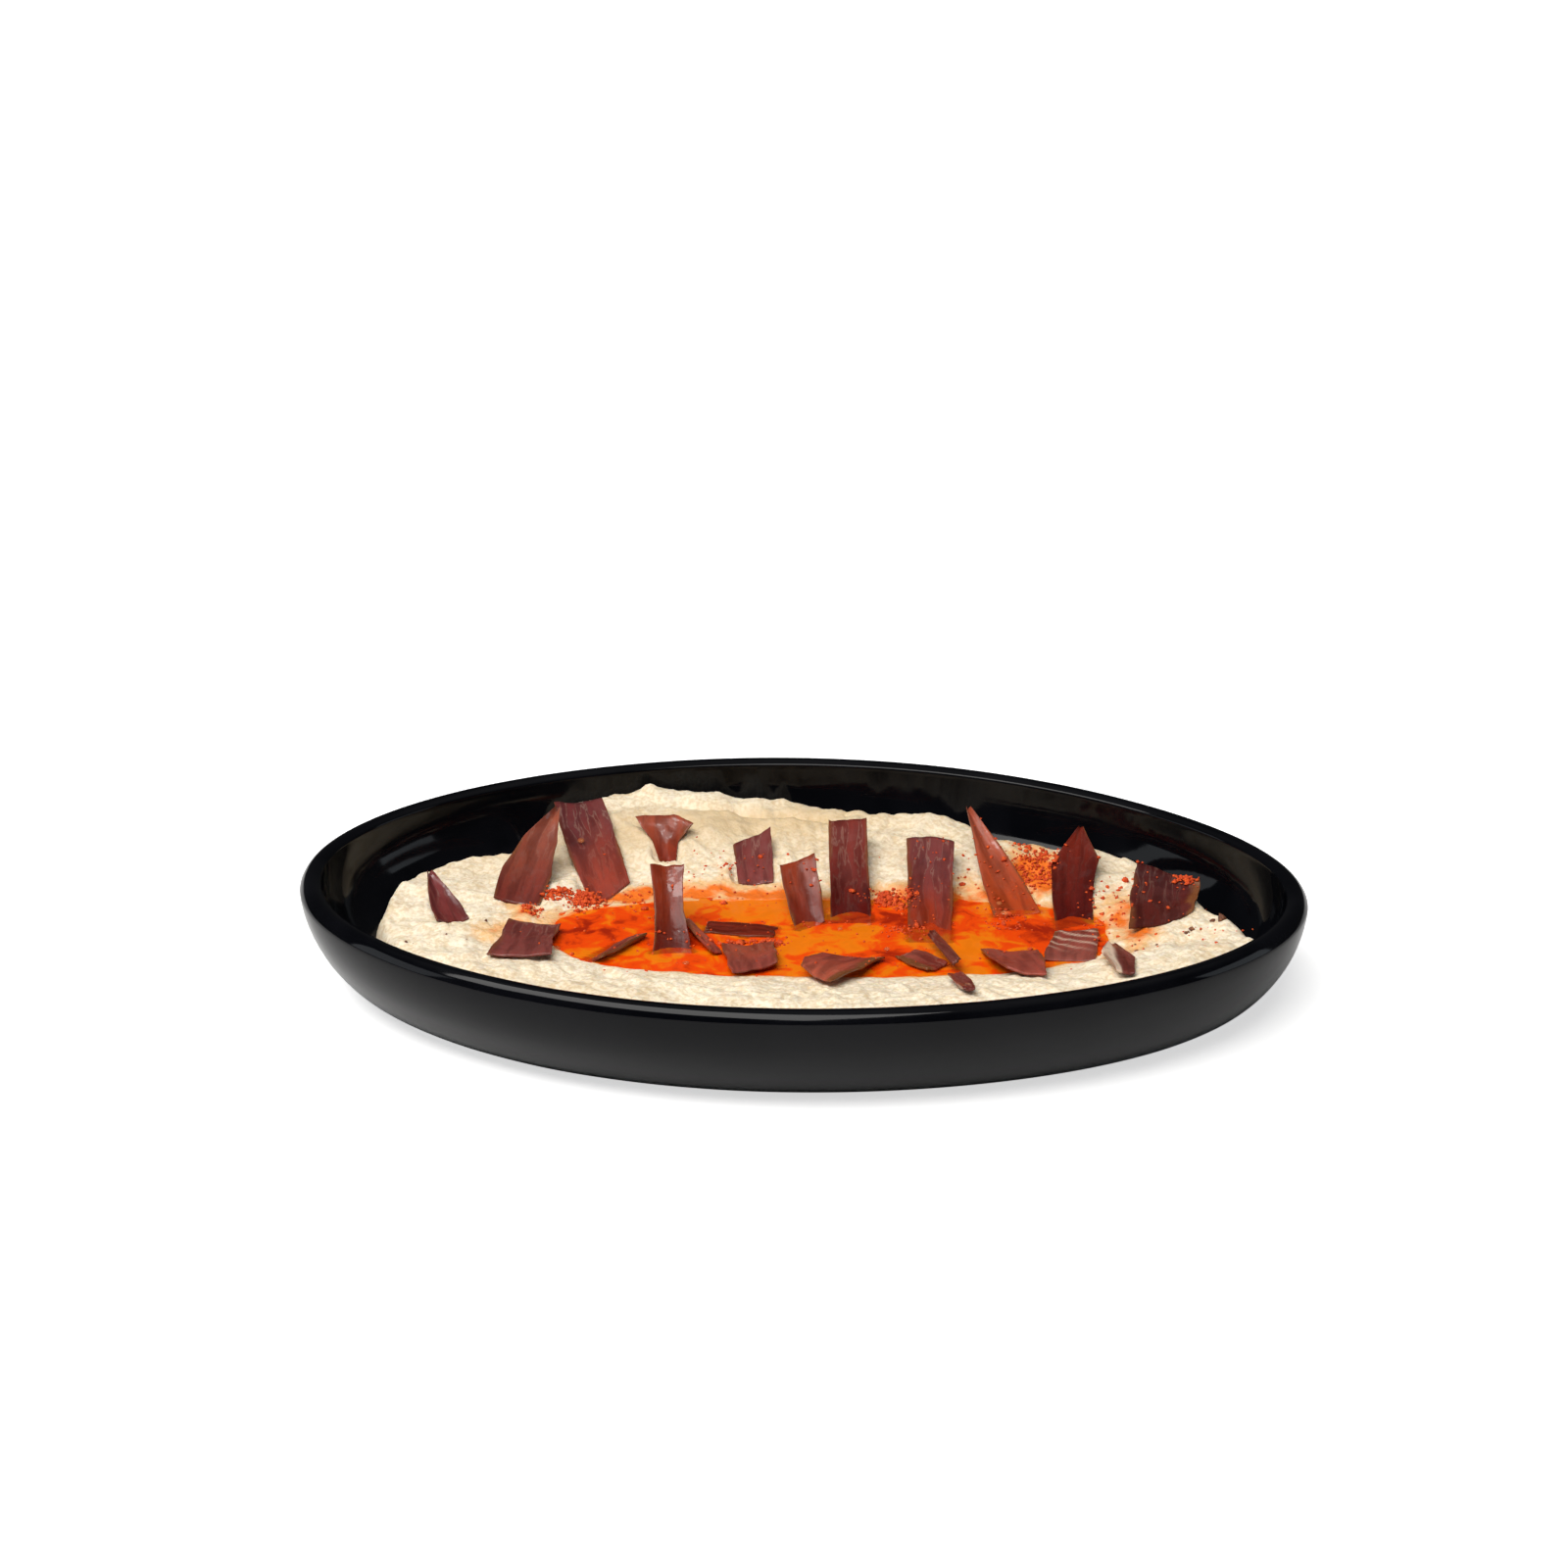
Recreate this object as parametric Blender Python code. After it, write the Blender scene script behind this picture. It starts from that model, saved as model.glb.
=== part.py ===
"""A black glazed pebble-shaped dish of hummus with an oil pool and shavings of cured meat.

Metres, +Z up. The origin is the middle of the footprint of the dish, on the surface it stands on.
+X runs along the length of the dish, and -Y is its front, where the hummus reaches the rim.
"""

import math
from dataclasses import dataclass

import bmesh
import bpy
import numpy as np

MM = 0.001

# Clearance between pieces that touch.
GAP = 0.3 * MM

# Dish: outline r(a) = 1 + sum(c cos ka + s sin ka), stretched to these half sides.
DISH_HALF_LENGTH = 115.7 * MM
DISH_HALF_DEPTH = 77.6 * MM
DISH_LOBES = ((2, 0.020, -0.0275), (3, 0.0045, -0.010), (4, 0.006, -0.005))
DISH_HEIGHT = 28.0 * MM
DISH_SEGMENTS = 72
OUTLINE_SAMPLES = 1440

# The rim is a gently domed band, from an outer crease to the inner wall.
RIM_WIDTH = 5.1 * MM
RIM_OUTER_DROP = 2.9 * MM
RIM_INNER_DROP = 1.3 * MM
RIM_CROWN = 1.0 * MM
RIM_CROWN_AT = 0.33
RIM_STEPS = 5

# Both walls are quarter superellipses that run into the flat underside and the flat floor.
OUTER_INSET = 19.0 * MM
OUTER_POWER = 1.68
OUTER_STEPS = 8
INNER_INSET = 22.0 * MM
INNER_POWER = 2.2
INNER_STEPS = 8
FLOOR_HEIGHT = 5.0 * MM

# Pool of oil in the middle of the hummus: two half superellipses in plan, front and back.
POOL_CENTRE = (7.0 * MM, -4.5 * MM)
POOL_HALF_LENGTH = 65.0 * MM
POOL_FRONT_DEPTH = 25.5 * MM
POOL_BACK_DEPTH = 17.0 * MM
POOL_POWER = 2.8
OIL_LEVEL = 15.0 * MM
WELL_FLOOR = 12.2 * MM
WELL_EDGE = 14.6 * MM
WELL_FLAT_SHARE = 0.8
WELL_RING_SHARES = (0.45, 0.8, 0.91)
SHORE = 15.3 * MM
SHORE_WIDTH = 1.0 * MM
OIL_EDGE_INSET = 0.5 * MM
OIL_EDGE_DEPTH = 0.5 * MM
OIL_CLEARANCE = 1.5 * GAP

# Crest of the hummus, for a direction from the pool: degrees, how far the crest stays from the
# wall of the dish, its height, and how far outside the crest the hummus comes down to its foot.
CREST_KEYS = (
    (-150, 13.0, 19.5, 14.0),
    (-120, 12.0, 20.5, 18.0),
    (-90, 11.0, 21.0, 20.0),
    (-60, 11.0, 21.0, 20.0),
    (-35, 10.0, 21.3, 16.0),
    (-11, 7.0, 21.5, 7.0),
    (3, 17.5, 19.2, 4.5),
    (26, 11.0, 18.6, 4.5),
    (46, 20.0, 19.8, 7.0),
    (64, 15.5, 21.0, 7.0),
    (76, 18.0, 21.0, 7.0),
    (106, 9.5, 22.0, 6.0),
    (130, 4.0, 22.6, 6.0),
    (137, 6.5, 21.8, 6.0),
    (145, 17.0, 17.8, 5.0),
    (160, 12.0, 16.8, 4.0),
    (180, 17.0, 17.0, 4.0),
)
CREST_FOOT = 4.0 * MM
BEACH_POWER = 1.1
BEACH_RING_SHARES = (0.2, 0.42, 0.62, 0.8, 1.0)
SKIRT_POWER = 2.4
SKIRT_RING_SHARES = (0.4, 0.7, 0.9, 1.0)
FURROW_DEPTH = 1.2 * MM
FURROW_INSET = 9.0 * MM
FURROW_WIDTH = 3.0 * MM
FURROW_DIRECTION = 108.0
FURROW_SPREAD = 22.0
HUMMUS_DIRECTIONS = 56
HUMMUS_UNDERSIDE = 2.0 * MM
CAVITY_TOP = 34.0 * MM

SHAVING_THICKNESS = 1.0 * MM
SHAVING_STEPS = 5
SHAVING_STRIPS = 2


@dataclass(frozen=True)
class Shaving:
    """One shaving of cured meat, in millimetres and degrees.

    foot is the middle of the end that is set in the food, heading the way that it runs in plan,
    and lean its climb half way along. widths are evenly spaced from foot to tip. bend is the
    gain in climb from end to end. sweep shifts the far end to the right, roll turns the shaving
    about its length and twist adds to that along it. cup lifts both long edges. The cuts slant
    and round the two ends.
    """

    name: str
    foot: tuple
    heading: float
    lean: float
    length: float
    widths: tuple
    bend: float = 0.0
    sweep: float = 0.0
    roll: float = 0.0
    twist: float = 0.0
    cup: float = 0.0
    foot_cut: float = 0.0
    tip_cut: float = 0.0
    tip_round: float = 0.0


SHAVINGS = (
    Shaving("shaving_01", (-83, -1.2, 15.6), 117, 26, 16, (8.6, 8, 5, 1.2), 10, 0, -12, 0, 1.0),
    Shaving("shaving_02", (-68.5, 10.5, 15.0), 82, 26, 31, (11.5, 12, 8.5, 1.2), 14, 4.5, -10, 0, 1),
    Shaving("shaving_03", (-65.5, -25, 17.6), 84, -4, 22, (14.5, 12.5, 13), 0, 0, 0, 0, 0.8, 1, -1),
    Shaving("shaving_04", (-46, 17, 14.0), 106, 17, 37, (10.5, 12.5, 12.5), 6, 0, 8, -8, 0.9, 3),
    Shaving("shaving_05", (-32.5, 32, 16.6), 97, 32, 15, (4, 6.5, 14.5), 20, 0, 6, 10, 1.4, 0, -2, 2),
    Shaving("shaving_06", (-30, -17, 13.6), 96, 40, 24.5, (9.6, 6.6, 8.2), 22, 0, 0, -10, 0.9),
    Shaving("shaving_07", (-48, -22.5, 15.4), 52, 1, 17.5, (5.5, 5, 3), 0, 0, 28, 0, 0.4),
    Shaving("shaving_08", (-19.8, -19, 15.9), 112, 0, 20.5, (3, 4, 2.2), 0, 0, -30, 0, 0.3),
    Shaving("shaving_09", (-22.4, -3.4, 14.9), -9, 0, 16.5, (6, 7, 6), 0, 0, 0, 0, 0.3),
    Shaving("shaving_10", (-10.6, -29.5, 16.7), 97, -4, 15.5, (11, 12, 12.2), -6, 0, 0, 0, 0.7, 2),
    Shaving("shaving_11", (-11, 22.5, 15.0), 94, 22, 16, (8.4, 9, 9.6), 4, 0, 0, 6, 0.5, 0, 2.4),
    Shaving("shaving_12", (2.5, -2, 13.6), 102, 35, 20, (7, 8.6, 9), 12, 0, 0, 8, 1.2, 1.6, 1),
    Shaving("shaving_13", (3.6, -37, 18.6), 66, -9, 18, (10, 14, 12), -8, 2, 0, 0, 0.7, -3, 3),
    Shaving("shaving_14", (12, 0.5, 13.6), 91, 18, 39, (9.8, 9.4, 9.4), 14, 0, 0, 4, 0.8),
    Shaving("shaving_15", (30.3, -10.5, 13.0), 88, 16, 42, (9.8, 10.6, 11.8), 10, 0, 0, -4, 1, 0, 0, 2),
    Shaving("shaving_16", (24.4, -18.5, 15.3), -48, 2, 11, (6.5, 7.5, 6), 0, 0, 0, 0, 0.4),
    Shaving("shaving_17", (36.0, -29, 18.2), 109, 1, 17, (2.4, 2.4, 2), 0, 0, 36, 0, 0),
    Shaving("shaving_18", (37.8, -52.5, 22.4), 98, -15, 20, (2.8, 4, 3.4), 0, 0, 0, 0, 0.3, 0, 0, 1),
    Shaving("shaving_19", (52, 5, 14.4), 103, 22, 38, (11.5, 10, 6, 1.2), 16, -3, 0, 0, 0.9),
    Shaving("shaving_20", (51.5, -36.5, 19.0), 99, -9, 19, (8, 12, 12.5), -10, 0, 0, 0, 0.6, -3, -2),
    Shaving("shaving_21", (65.5, -1, 13.6), 91, 20, 36, (9, 10, 11.5, 1.2), 10, 4, 0, 0, 0.8, 2),
    Shaving("shaving_22", (62.5, -22, 15.2), 80, 0, 17, (12, 11.5, 10), 0, 0, 0, 0, 0.5, 1, 2),
    Shaving("shaving_23", (73.2, -43, 22.2), 92, -9, 25, (4.5, 8, 1.5), -10, 0, -14, 0, 0.5),
    Shaving("shaving_24", (84.8, -7.0, 18.1), 80, 16, 19, (14, 16, 16), 10, 0, -4, 0, 1.2, 5, -2),
)


def new_material(name, colour, roughness, metallic=0.0):
    """A Principled material."""
    material = bpy.data.materials.new(name)
    material.use_nodes = True
    shader = material.node_tree.nodes["Principled BSDF"]
    shader.inputs["Base Color"].default_value = (*colour, 1.0)
    shader.inputs["Roughness"].default_value = roughness
    shader.inputs["Metallic"].default_value = metallic
    material.diffuse_color = (*colour, 1.0)
    return material


def new_object(name, mesh, collection, material=None, smooth_angle=None):
    """Wraps a bmesh in an object, faces outward, and links it."""
    bmesh.ops.recalc_face_normals(mesh, faces=mesh.faces)
    data = bpy.data.meshes.new(name)
    mesh.to_mesh(data)
    mesh.free()
    if smooth_angle is not None:
        data.shade_smooth()
        data.set_sharp_from_angle(angle=math.radians(smooth_angle))
    if material is not None:
        data.materials.append(material)
    obj = bpy.data.objects.new(name, data)
    collection.objects.link(obj)
    return obj


def loft(rings, first_centre, last_centre):
    """A closed bmesh through rings of equal count, with a fan to a centre point at both ends."""
    mesh = bmesh.new()
    loops = [[mesh.verts.new(point) for point in ring] for ring in rings]
    for lower, upper in zip(loops, loops[1:]):
        for i in range(len(lower)):
            j = (i + 1) % len(lower)
            mesh.faces.new((lower[i], lower[j], upper[j], upper[i]))
    for ring, centre in ((loops[0], first_centre), (loops[-1], last_centre)):
        middle = mesh.verts.new(centre)
        for i, point in enumerate(ring):
            mesh.faces.new((point, ring[(i + 1) % len(ring)], middle))
    return mesh


def dish_outline(angles):
    """Points of the widest contour, centred on the origin, and the normals that point inward."""
    k = np.array([lobe[0] for lobe in DISH_LOBES])[:, None]
    c = np.array([lobe[1] for lobe in DISH_LOBES])[:, None]
    s = np.array([lobe[2] for lobe in DISH_LOBES])[:, None]

    def curve(a):
        swell = 1 + (c * np.cos(k * a) + s * np.sin(k * a)).sum(axis=0)
        turn = (k * (s * np.cos(k * a) - c * np.sin(k * a))).sum(axis=0)
        x = DISH_HALF_LENGTH * swell * np.cos(a)
        y = DISH_HALF_DEPTH * swell * np.sin(a)
        dx = DISH_HALF_LENGTH * (turn * np.cos(a) - swell * np.sin(a))
        dy = DISH_HALF_DEPTH * (turn * np.sin(a) + swell * np.cos(a))
        size = np.hypot(dx, dy)
        return np.column_stack([x, y]), np.column_stack([-dy / size, dx / size])

    fine = curve(np.linspace(0, 2 * math.pi, OUTLINE_SAMPLES, endpoint=False))[0]
    centre = (fine.min(axis=0) + fine.max(axis=0)) / 2
    points, inward = curve(np.asarray(angles))
    return points - centre, inward


def rim_profile():
    """(inset, height) across the rim, from the outer crease to the top of the inner wall."""
    crease = np.array([0.0, DISH_HEIGHT - RIM_OUTER_DROP])
    crown = np.array([RIM_CROWN_AT * RIM_WIDTH, DISH_HEIGHT + RIM_CROWN])
    inner = np.array([RIM_WIDTH, DISH_HEIGHT - RIM_INNER_DROP])
    steps = np.linspace(0, 1, RIM_STEPS + 1)
    return [(1 - t) ** 2 * crease + 2 * t * (1 - t) * crown + t * t * inner for t in steps]


def wall_profile(top, drop, inset, power, count):
    """(inset, height) down a wall from top, a quarter superellipse that ends level."""
    points = []
    for t in np.sin(np.linspace(0, math.pi / 2, count + 1)[1:]):
        out = inset * (1 - (1 - t**power) ** (1 / power))
        points.append((top[0] + out, top[1] - drop * t))
    return points


def outer_profile():
    """(inset, height) from the underside up the outer wall, without the crease."""
    top = (0.0, DISH_HEIGHT - RIM_OUTER_DROP)
    return wall_profile(top, top[1], OUTER_INSET, OUTER_POWER, OUTER_STEPS)[::-1]


def inner_profile():
    """(inset, height) down the inner wall to the edge of the floor."""
    top = (RIM_WIDTH, DISH_HEIGHT - RIM_INNER_DROP)
    return wall_profile(top, top[1] - FLOOR_HEIGHT, INNER_INSET, INNER_POWER, INNER_STEPS)


def dish_ring(inset, height):
    """One ring of the dish, inset from its widest contour."""
    angles = np.linspace(0, 2 * math.pi, DISH_SEGMENTS, endpoint=False)
    points, inward = dish_outline(angles)
    flat = points + inset * inward
    return [(x, y, height) for x, y in flat]


def make_dish(collection, material):
    """The dish: outer wall, domed rim, inner wall and floor in one loft."""
    profile = outer_profile() + rim_profile() + inner_profile()
    rings = [dish_ring(inset, height) for inset, height in profile]
    mesh = loft(rings, (0, 0, 0), (0, 0, FLOOR_HEIGHT))
    return new_object("dish", mesh, collection, material, smooth_angle=25)


def make_cavity(collection):
    """The inside of the dish, held clear of its walls, which the hummus fills."""
    top = (RIM_WIDTH + GAP, CAVITY_TOP)
    profile = [top] + [(inset + GAP, height + GAP) for inset, height in
                       rim_profile()[-1:] + inner_profile()]
    rings = [dish_ring(inset, height) for inset, height in profile]
    mesh = loft(rings, (0, 0, CAVITY_TOP), (0, 0, FLOOR_HEIGHT + GAP))
    return new_cutter("cavity", mesh, collection)


def wall_distance(directions):
    """Distance from the pool's centre to the top of the inner wall, in each direction."""
    angles = np.linspace(0, 2 * math.pi, OUTLINE_SAMPLES, endpoint=False)
    points, inward = dish_outline(angles)
    offset = points + RIM_WIDTH * inward - np.array(POOL_CENTRE)
    bearing = np.arctan2(offset[:, 1], offset[:, 0])
    distance = np.hypot(offset[:, 0], offset[:, 1])
    return np.interp(directions, bearing, distance, period=2 * math.pi)


def pool_distance(directions):
    """Distance from the pool's centre to the edge of the oil, in each direction."""
    depth = np.where(np.sin(directions) < 0, POOL_FRONT_DEPTH, POOL_BACK_DEPTH)
    across = np.abs(np.cos(directions)) / POOL_HALF_LENGTH
    along = np.abs(np.sin(directions)) / depth
    return (across**POOL_POWER + along**POOL_POWER) ** (-1 / POOL_POWER)


def crest_values(directions):
    """Crest inset, crest height and skirt width in each direction, smooth all round."""
    keys = np.array(CREST_KEYS, dtype=float)
    before, after = keys[-2:].copy(), keys[:3].copy()
    before[:, 0] -= 360
    after[:, 0] += 360
    keys = np.vstack([before, keys, after])
    at = np.degrees(np.asarray(directions))
    at = (at - CREST_KEYS[0][0]) % 360 + CREST_KEYS[0][0]
    i = np.searchsorted(keys[:, 0], at, side="right") - 1
    t = ((at - keys[i, 0]) / (keys[i + 1, 0] - keys[i, 0]))[:, None]
    slope = np.gradient(keys[:, 1:], keys[:, 0], axis=0)
    span = (keys[i + 1, 0] - keys[i, 0])[:, None]
    start, end = keys[i, 1:], keys[i + 1, 1:]
    curve = (
        (1 + 2 * t) * (1 - t) ** 2 * start
        + t * (1 - t) ** 2 * span * slope[i]
        + t * t * (3 - 2 * t) * end
        + t * t * (t - 1) * span * slope[i + 1]
    )
    return curve.T * MM


def hummus_height(directions, distances):
    """Height of the hummus at points given from the pool's centre."""
    pool = pool_distance(directions)
    inset, crest, skirt = crest_values(directions)
    ridge = wall_distance(directions) - inset

    well = np.clip(distances / pool, 0, 1)
    slope = np.clip((well - WELL_FLAT_SHARE) / (1 - WELL_FLAT_SHARE), 0, 1)
    floor = WELL_FLOOR + (WELL_EDGE - WELL_FLOOR) * slope**2
    shore = WELL_EDGE + (SHORE - WELL_EDGE) * np.clip((distances - pool) / SHORE_WIDTH, 0, 1)

    climb = np.clip((distances - pool - SHORE_WIDTH) / (ridge - pool - SHORE_WIDTH), 0, 1)
    beach = SHORE + (crest - SHORE) * np.sin(climb * math.pi / 2) ** BEACH_POWER

    fall = np.clip((distances - ridge) / skirt, 0, 1)
    side = (crest - CREST_FOOT) * (1 - (1 - fall**SKIRT_POWER) ** (1 / SKIRT_POWER))

    turned = np.degrees(np.arctan2(np.sin(directions), np.cos(directions))) - FURROW_DIRECTION
    window = np.exp(-((turned / FURROW_SPREAD) ** 2))
    furrow = np.exp(-(((distances - ridge + FURROW_INSET) / FURROW_WIDTH) ** 2))

    height = np.where(distances <= pool, floor, np.where(climb <= 0, shore, beach))
    return height - side - FURROW_DEPTH * window * furrow


def hummus_distances(directions):
    """Distances of the hummus's rings from the pool's centre, from the inside out."""
    pool = pool_distance(directions)
    inset, _, skirt = crest_values(directions)
    ridge = wall_distance(directions) - inset
    beach = pool + SHORE_WIDTH
    rings = [pool * share for share in WELL_RING_SHARES] + [pool, beach]
    rings += [beach + (ridge - beach) * share for share in BEACH_RING_SHARES]
    rings += [ridge + skirt * share for share in SKIRT_RING_SHARES]
    return rings


def make_hummus(collection, cutters, material, pockets):
    """The hummus: a mound with a well, kept inside the dish and cut round the shavings."""
    directions = np.linspace(-math.pi, math.pi, HUMMUS_DIRECTIONS, endpoint=False)
    x0, y0 = POOL_CENTRE
    rings = []
    for distances in hummus_distances(directions):
        heights = hummus_height(directions, distances)
        x = x0 + distances * np.cos(directions)
        y = y0 + distances * np.sin(directions)
        rings.append(list(zip(x, y, heights)))
    rings.append([(x, y, HUMMUS_UNDERSIDE) for x, y, _ in rings[-1]])
    mesh = loft(rings, (x0, y0, WELL_FLOOR), (x0, y0, HUMMUS_UNDERSIDE))
    hummus = new_object("hummus", mesh, collection, material, smooth_angle=50)
    add_boolean(hummus, "INTERSECT", make_cavity(cutters))
    for pocket in pockets:
        add_boolean(hummus, "DIFFERENCE", pocket)
    return hummus


def make_oil(collection, material, pockets):
    """The pool of oil: a level top over the well, cut round the shavings."""
    directions = np.linspace(-math.pi, math.pi, HUMMUS_DIRECTIONS, endpoint=False)
    x0, y0 = POOL_CENTRE
    pool = pool_distance(directions)
    edge = pool - OIL_EDGE_INSET
    rings = []
    for share in WELL_RING_SHARES:
        heights = hummus_height(directions, pool * share) + OIL_CLEARANCE
        rings.append((pool * share, heights))
    rings.append((edge, np.full_like(edge, OIL_LEVEL - OIL_EDGE_DEPTH)))
    rings.append((edge, np.full_like(edge, OIL_LEVEL)))
    points = [
        list(zip(x0 + away * np.cos(directions), y0 + away * np.sin(directions), heights))
        for away, heights in rings
    ]
    mesh = loft(points, (x0, y0, WELL_FLOOR + OIL_CLEARANCE), (x0, y0, OIL_LEVEL))
    oil = new_object("oil", mesh, collection, material, smooth_angle=30)
    for pocket in pockets:
        add_boolean(oil, "DIFFERENCE", pocket)
    return oil


def shaving_mesh(shaving, clearance=0.0):
    """A thin slab along a bent centreline, grown by clearance on every side."""
    grown = clearance / MM
    heading = math.radians(shaving.heading)
    forward = np.array([math.cos(heading), math.sin(heading), 0.0])
    right = np.array([math.sin(heading), -math.cos(heading), 0.0])
    upward = np.array([0.0, 0.0, 1.0])

    steps = np.linspace(0, 1, SHAVING_STEPS + 1)
    climbs = np.radians(shaving.lean + shaving.bend * (steps - 0.5))
    middle = np.array(shaving.foot, dtype=float)
    run = shaving.length / SHAVING_STEPS
    centres, tangents = [], []
    for i, climb in enumerate(climbs):
        tangent = math.cos(climb) * forward + math.sin(climb) * upward
        if i:
            middle = middle + run * (tangent + tangents[-1]) / 2
        centres.append(middle + shaving.sweep * steps[i] ** 2 * right)
        tangents.append(tangent)

    stations = np.linspace(0, 1, len(shaving.widths))
    widths = np.interp(steps, stations, shaving.widths) + 2 * grown
    half = SHAVING_THICKNESS / MM / 2 + grown
    across = np.linspace(-1, 1, SHAVING_STRIPS + 1)
    top, bottom = [], []
    for i, t in enumerate(steps):
        roll = math.radians(shaving.roll + shaving.twist * t)
        raised = np.cross(right, tangents[i])
        side = math.cos(roll) * right + math.sin(roll) * raised
        normal = np.cross(side, tangents[i])
        end = (i == SHAVING_STEPS) - (i == 0)
        upper, lower = [], []
        for v in across:
            slant = shaving.foot_cut * v * (1 - t) + shaving.tip_cut * v * t
            slant -= shaving.tip_round * v * v * t + grown * -end
            point = centres[i] + side * v * widths[i] / 2 + tangents[i] * slant
            point = point + normal * shaving.cup * (v * v - 0.5)
            upper.append((point + normal * half) * MM)
            lower.append((point - normal * half) * MM)
        top.append(upper)
        bottom.append(lower)

    mesh = bmesh.new()
    grid_top = [[mesh.verts.new(point) for point in row] for row in top]
    grid_bottom = [[mesh.verts.new(point) for point in row] for row in bottom]
    last_row, last_column = SHAVING_STEPS, SHAVING_STRIPS
    for grid in (grid_top, grid_bottom):
        for i in range(last_row):
            for j in range(last_column):
                mesh.faces.new((grid[i][j], grid[i][j + 1], grid[i + 1][j + 1], grid[i + 1][j]))
    border = [(0, j) for j in range(last_column)] + [(i, last_column) for i in range(last_row)]
    border += [(last_row, j) for j in range(last_column, 0, -1)]
    border += [(i, 0) for i in range(last_row, 0, -1)]
    for (i, j), (k, m) in zip(border, border[1:] + border[:1]):
        mesh.faces.new((grid_top[i][j], grid_top[k][m], grid_bottom[k][m], grid_bottom[i][j]))
    bmesh.ops.triangulate(mesh, faces=mesh.faces)
    return mesh


def make_shaving(shaving, collection, material):
    """One shaving of cured meat."""
    return new_object(shaving.name, shaving_mesh(shaving), collection, material, smooth_angle=40)


def make_pocket(shaving, collection):
    """The space that a shaving takes from the food, with its clearance."""
    return new_cutter("pocket_" + shaving.name, shaving_mesh(shaving, GAP), collection)


def new_cutter(name, mesh, collection):
    """A solid that only cuts: it isn't part of the object."""
    cutter = new_object(name, mesh, collection)
    cutter.hide_render = True
    cutter.display_type = "WIRE"
    return cutter


def add_boolean(obj, operation, other):
    """A Boolean modifier with Blender's exact solver."""
    modifier = obj.modifiers.new(operation.lower() + "_" + other.name, "BOOLEAN")
    modifier.operation = operation
    modifier.object = other
    return modifier


def new_collection(name):
    """A collection in the scene."""
    collection = bpy.data.collections.new(name)
    bpy.context.scene.collection.children.link(collection)
    return collection


def main():
    """Clears the scene and builds the dish and everything in it."""
    for obj in list(bpy.data.objects):
        bpy.data.objects.remove(obj, do_unlink=True)
    bpy.context.scene.unit_settings.scale_length = 1.0
    parts = new_collection("hummus_dish")
    cutters = new_collection("cutters")

    glaze = new_material("black_glaze", (0.012, 0.013, 0.016), 0.12)
    hummus = new_material("hummus", (0.78, 0.66, 0.46), 0.55)
    oil = new_material("paprika_oil", (0.80, 0.24, 0.01), 0.08)
    meat = new_material("cured_meat", (0.24, 0.045, 0.025), 0.3)

    make_dish(parts, glaze)
    pockets = [make_pocket(shaving, cutters) for shaving in SHAVINGS]
    make_hummus(parts, cutters, hummus, pockets)
    make_oil(parts, oil, pockets)
    for shaving in SHAVINGS:
        make_shaving(shaving, parts, meat)


main()
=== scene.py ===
"""Looks of the dish of hummus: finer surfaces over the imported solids, small toppings, finishes, light.

Metres and +Z up in Blender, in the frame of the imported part. The forms below are in millimetres, and
make_object scales them. The origin is the middle of the dish on the surface that it stands on.
"""

import logging
import math
from dataclasses import dataclass
from enum import Enum

import bpy
import numpy as np
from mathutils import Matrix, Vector


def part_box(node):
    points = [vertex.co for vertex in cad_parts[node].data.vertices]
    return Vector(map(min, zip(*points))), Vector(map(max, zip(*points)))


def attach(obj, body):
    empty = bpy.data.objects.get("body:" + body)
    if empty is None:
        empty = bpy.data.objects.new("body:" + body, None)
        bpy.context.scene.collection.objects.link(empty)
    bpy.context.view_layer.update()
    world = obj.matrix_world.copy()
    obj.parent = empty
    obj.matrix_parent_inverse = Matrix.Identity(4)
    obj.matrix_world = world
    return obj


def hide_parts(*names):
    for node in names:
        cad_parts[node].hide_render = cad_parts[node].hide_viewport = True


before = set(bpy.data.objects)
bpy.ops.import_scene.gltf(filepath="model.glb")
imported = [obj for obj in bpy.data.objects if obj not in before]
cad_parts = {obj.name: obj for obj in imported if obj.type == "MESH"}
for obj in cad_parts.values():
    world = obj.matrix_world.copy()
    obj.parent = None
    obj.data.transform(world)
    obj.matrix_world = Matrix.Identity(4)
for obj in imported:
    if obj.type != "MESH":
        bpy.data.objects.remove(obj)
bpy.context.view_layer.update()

MM = 0.001
OUTLINE_SAMPLES = 1440
BODY = "root"

Array = np.ndarray
Colour = tuple[float, float, float]

log = logging.getLogger("dish_of_hummus")


class Slot(Enum):
    """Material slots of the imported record."""

    GLAZE = "black_glaze"
    HUMMUS = "hummus"
    OIL = "paprika_oil"
    MEAT = "cured_meat"


class Layer(Enum):
    """Values kept on the points of the meshes, which the finishes read."""

    STAIN = "stain"
    WET = "wet"
    # Painted shade on the hummus, darker at the back and along the crest.
    PAINTED_SHADE = "shade"
    DEEP = "deep"
    CLEAR = "clear"
    STRIP = "strip"
    TONE = "tone"
    HAZE = "haze"
    FAT = "fat"
    CRUST = "crust"


# ---------------------------------------------------------------- meshes and noise


def make_object(name: str, points: Array, faces: list, smooth: bool = True) -> bpy.types.Object:
    """Makes a mesh object.

    Args:
        name: Name of the object.
        points: Points in millimetres, one row each.
        faces: Point numbers of each face.
        smooth: Whether the faces are shaded smooth.

    Returns:
        The object, linked to the scene.
    """
    mesh = bpy.data.meshes.new(name)
    mesh.from_pydata((np.asarray(points) * MM).tolist(), [], faces)
    mesh.validate()
    mesh.polygons.foreach_set("use_smooth", [smooth] * len(mesh.polygons))
    mesh.update()
    obj = bpy.data.objects.new(name, mesh)
    bpy.context.scene.collection.objects.link(obj)
    return obj


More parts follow.
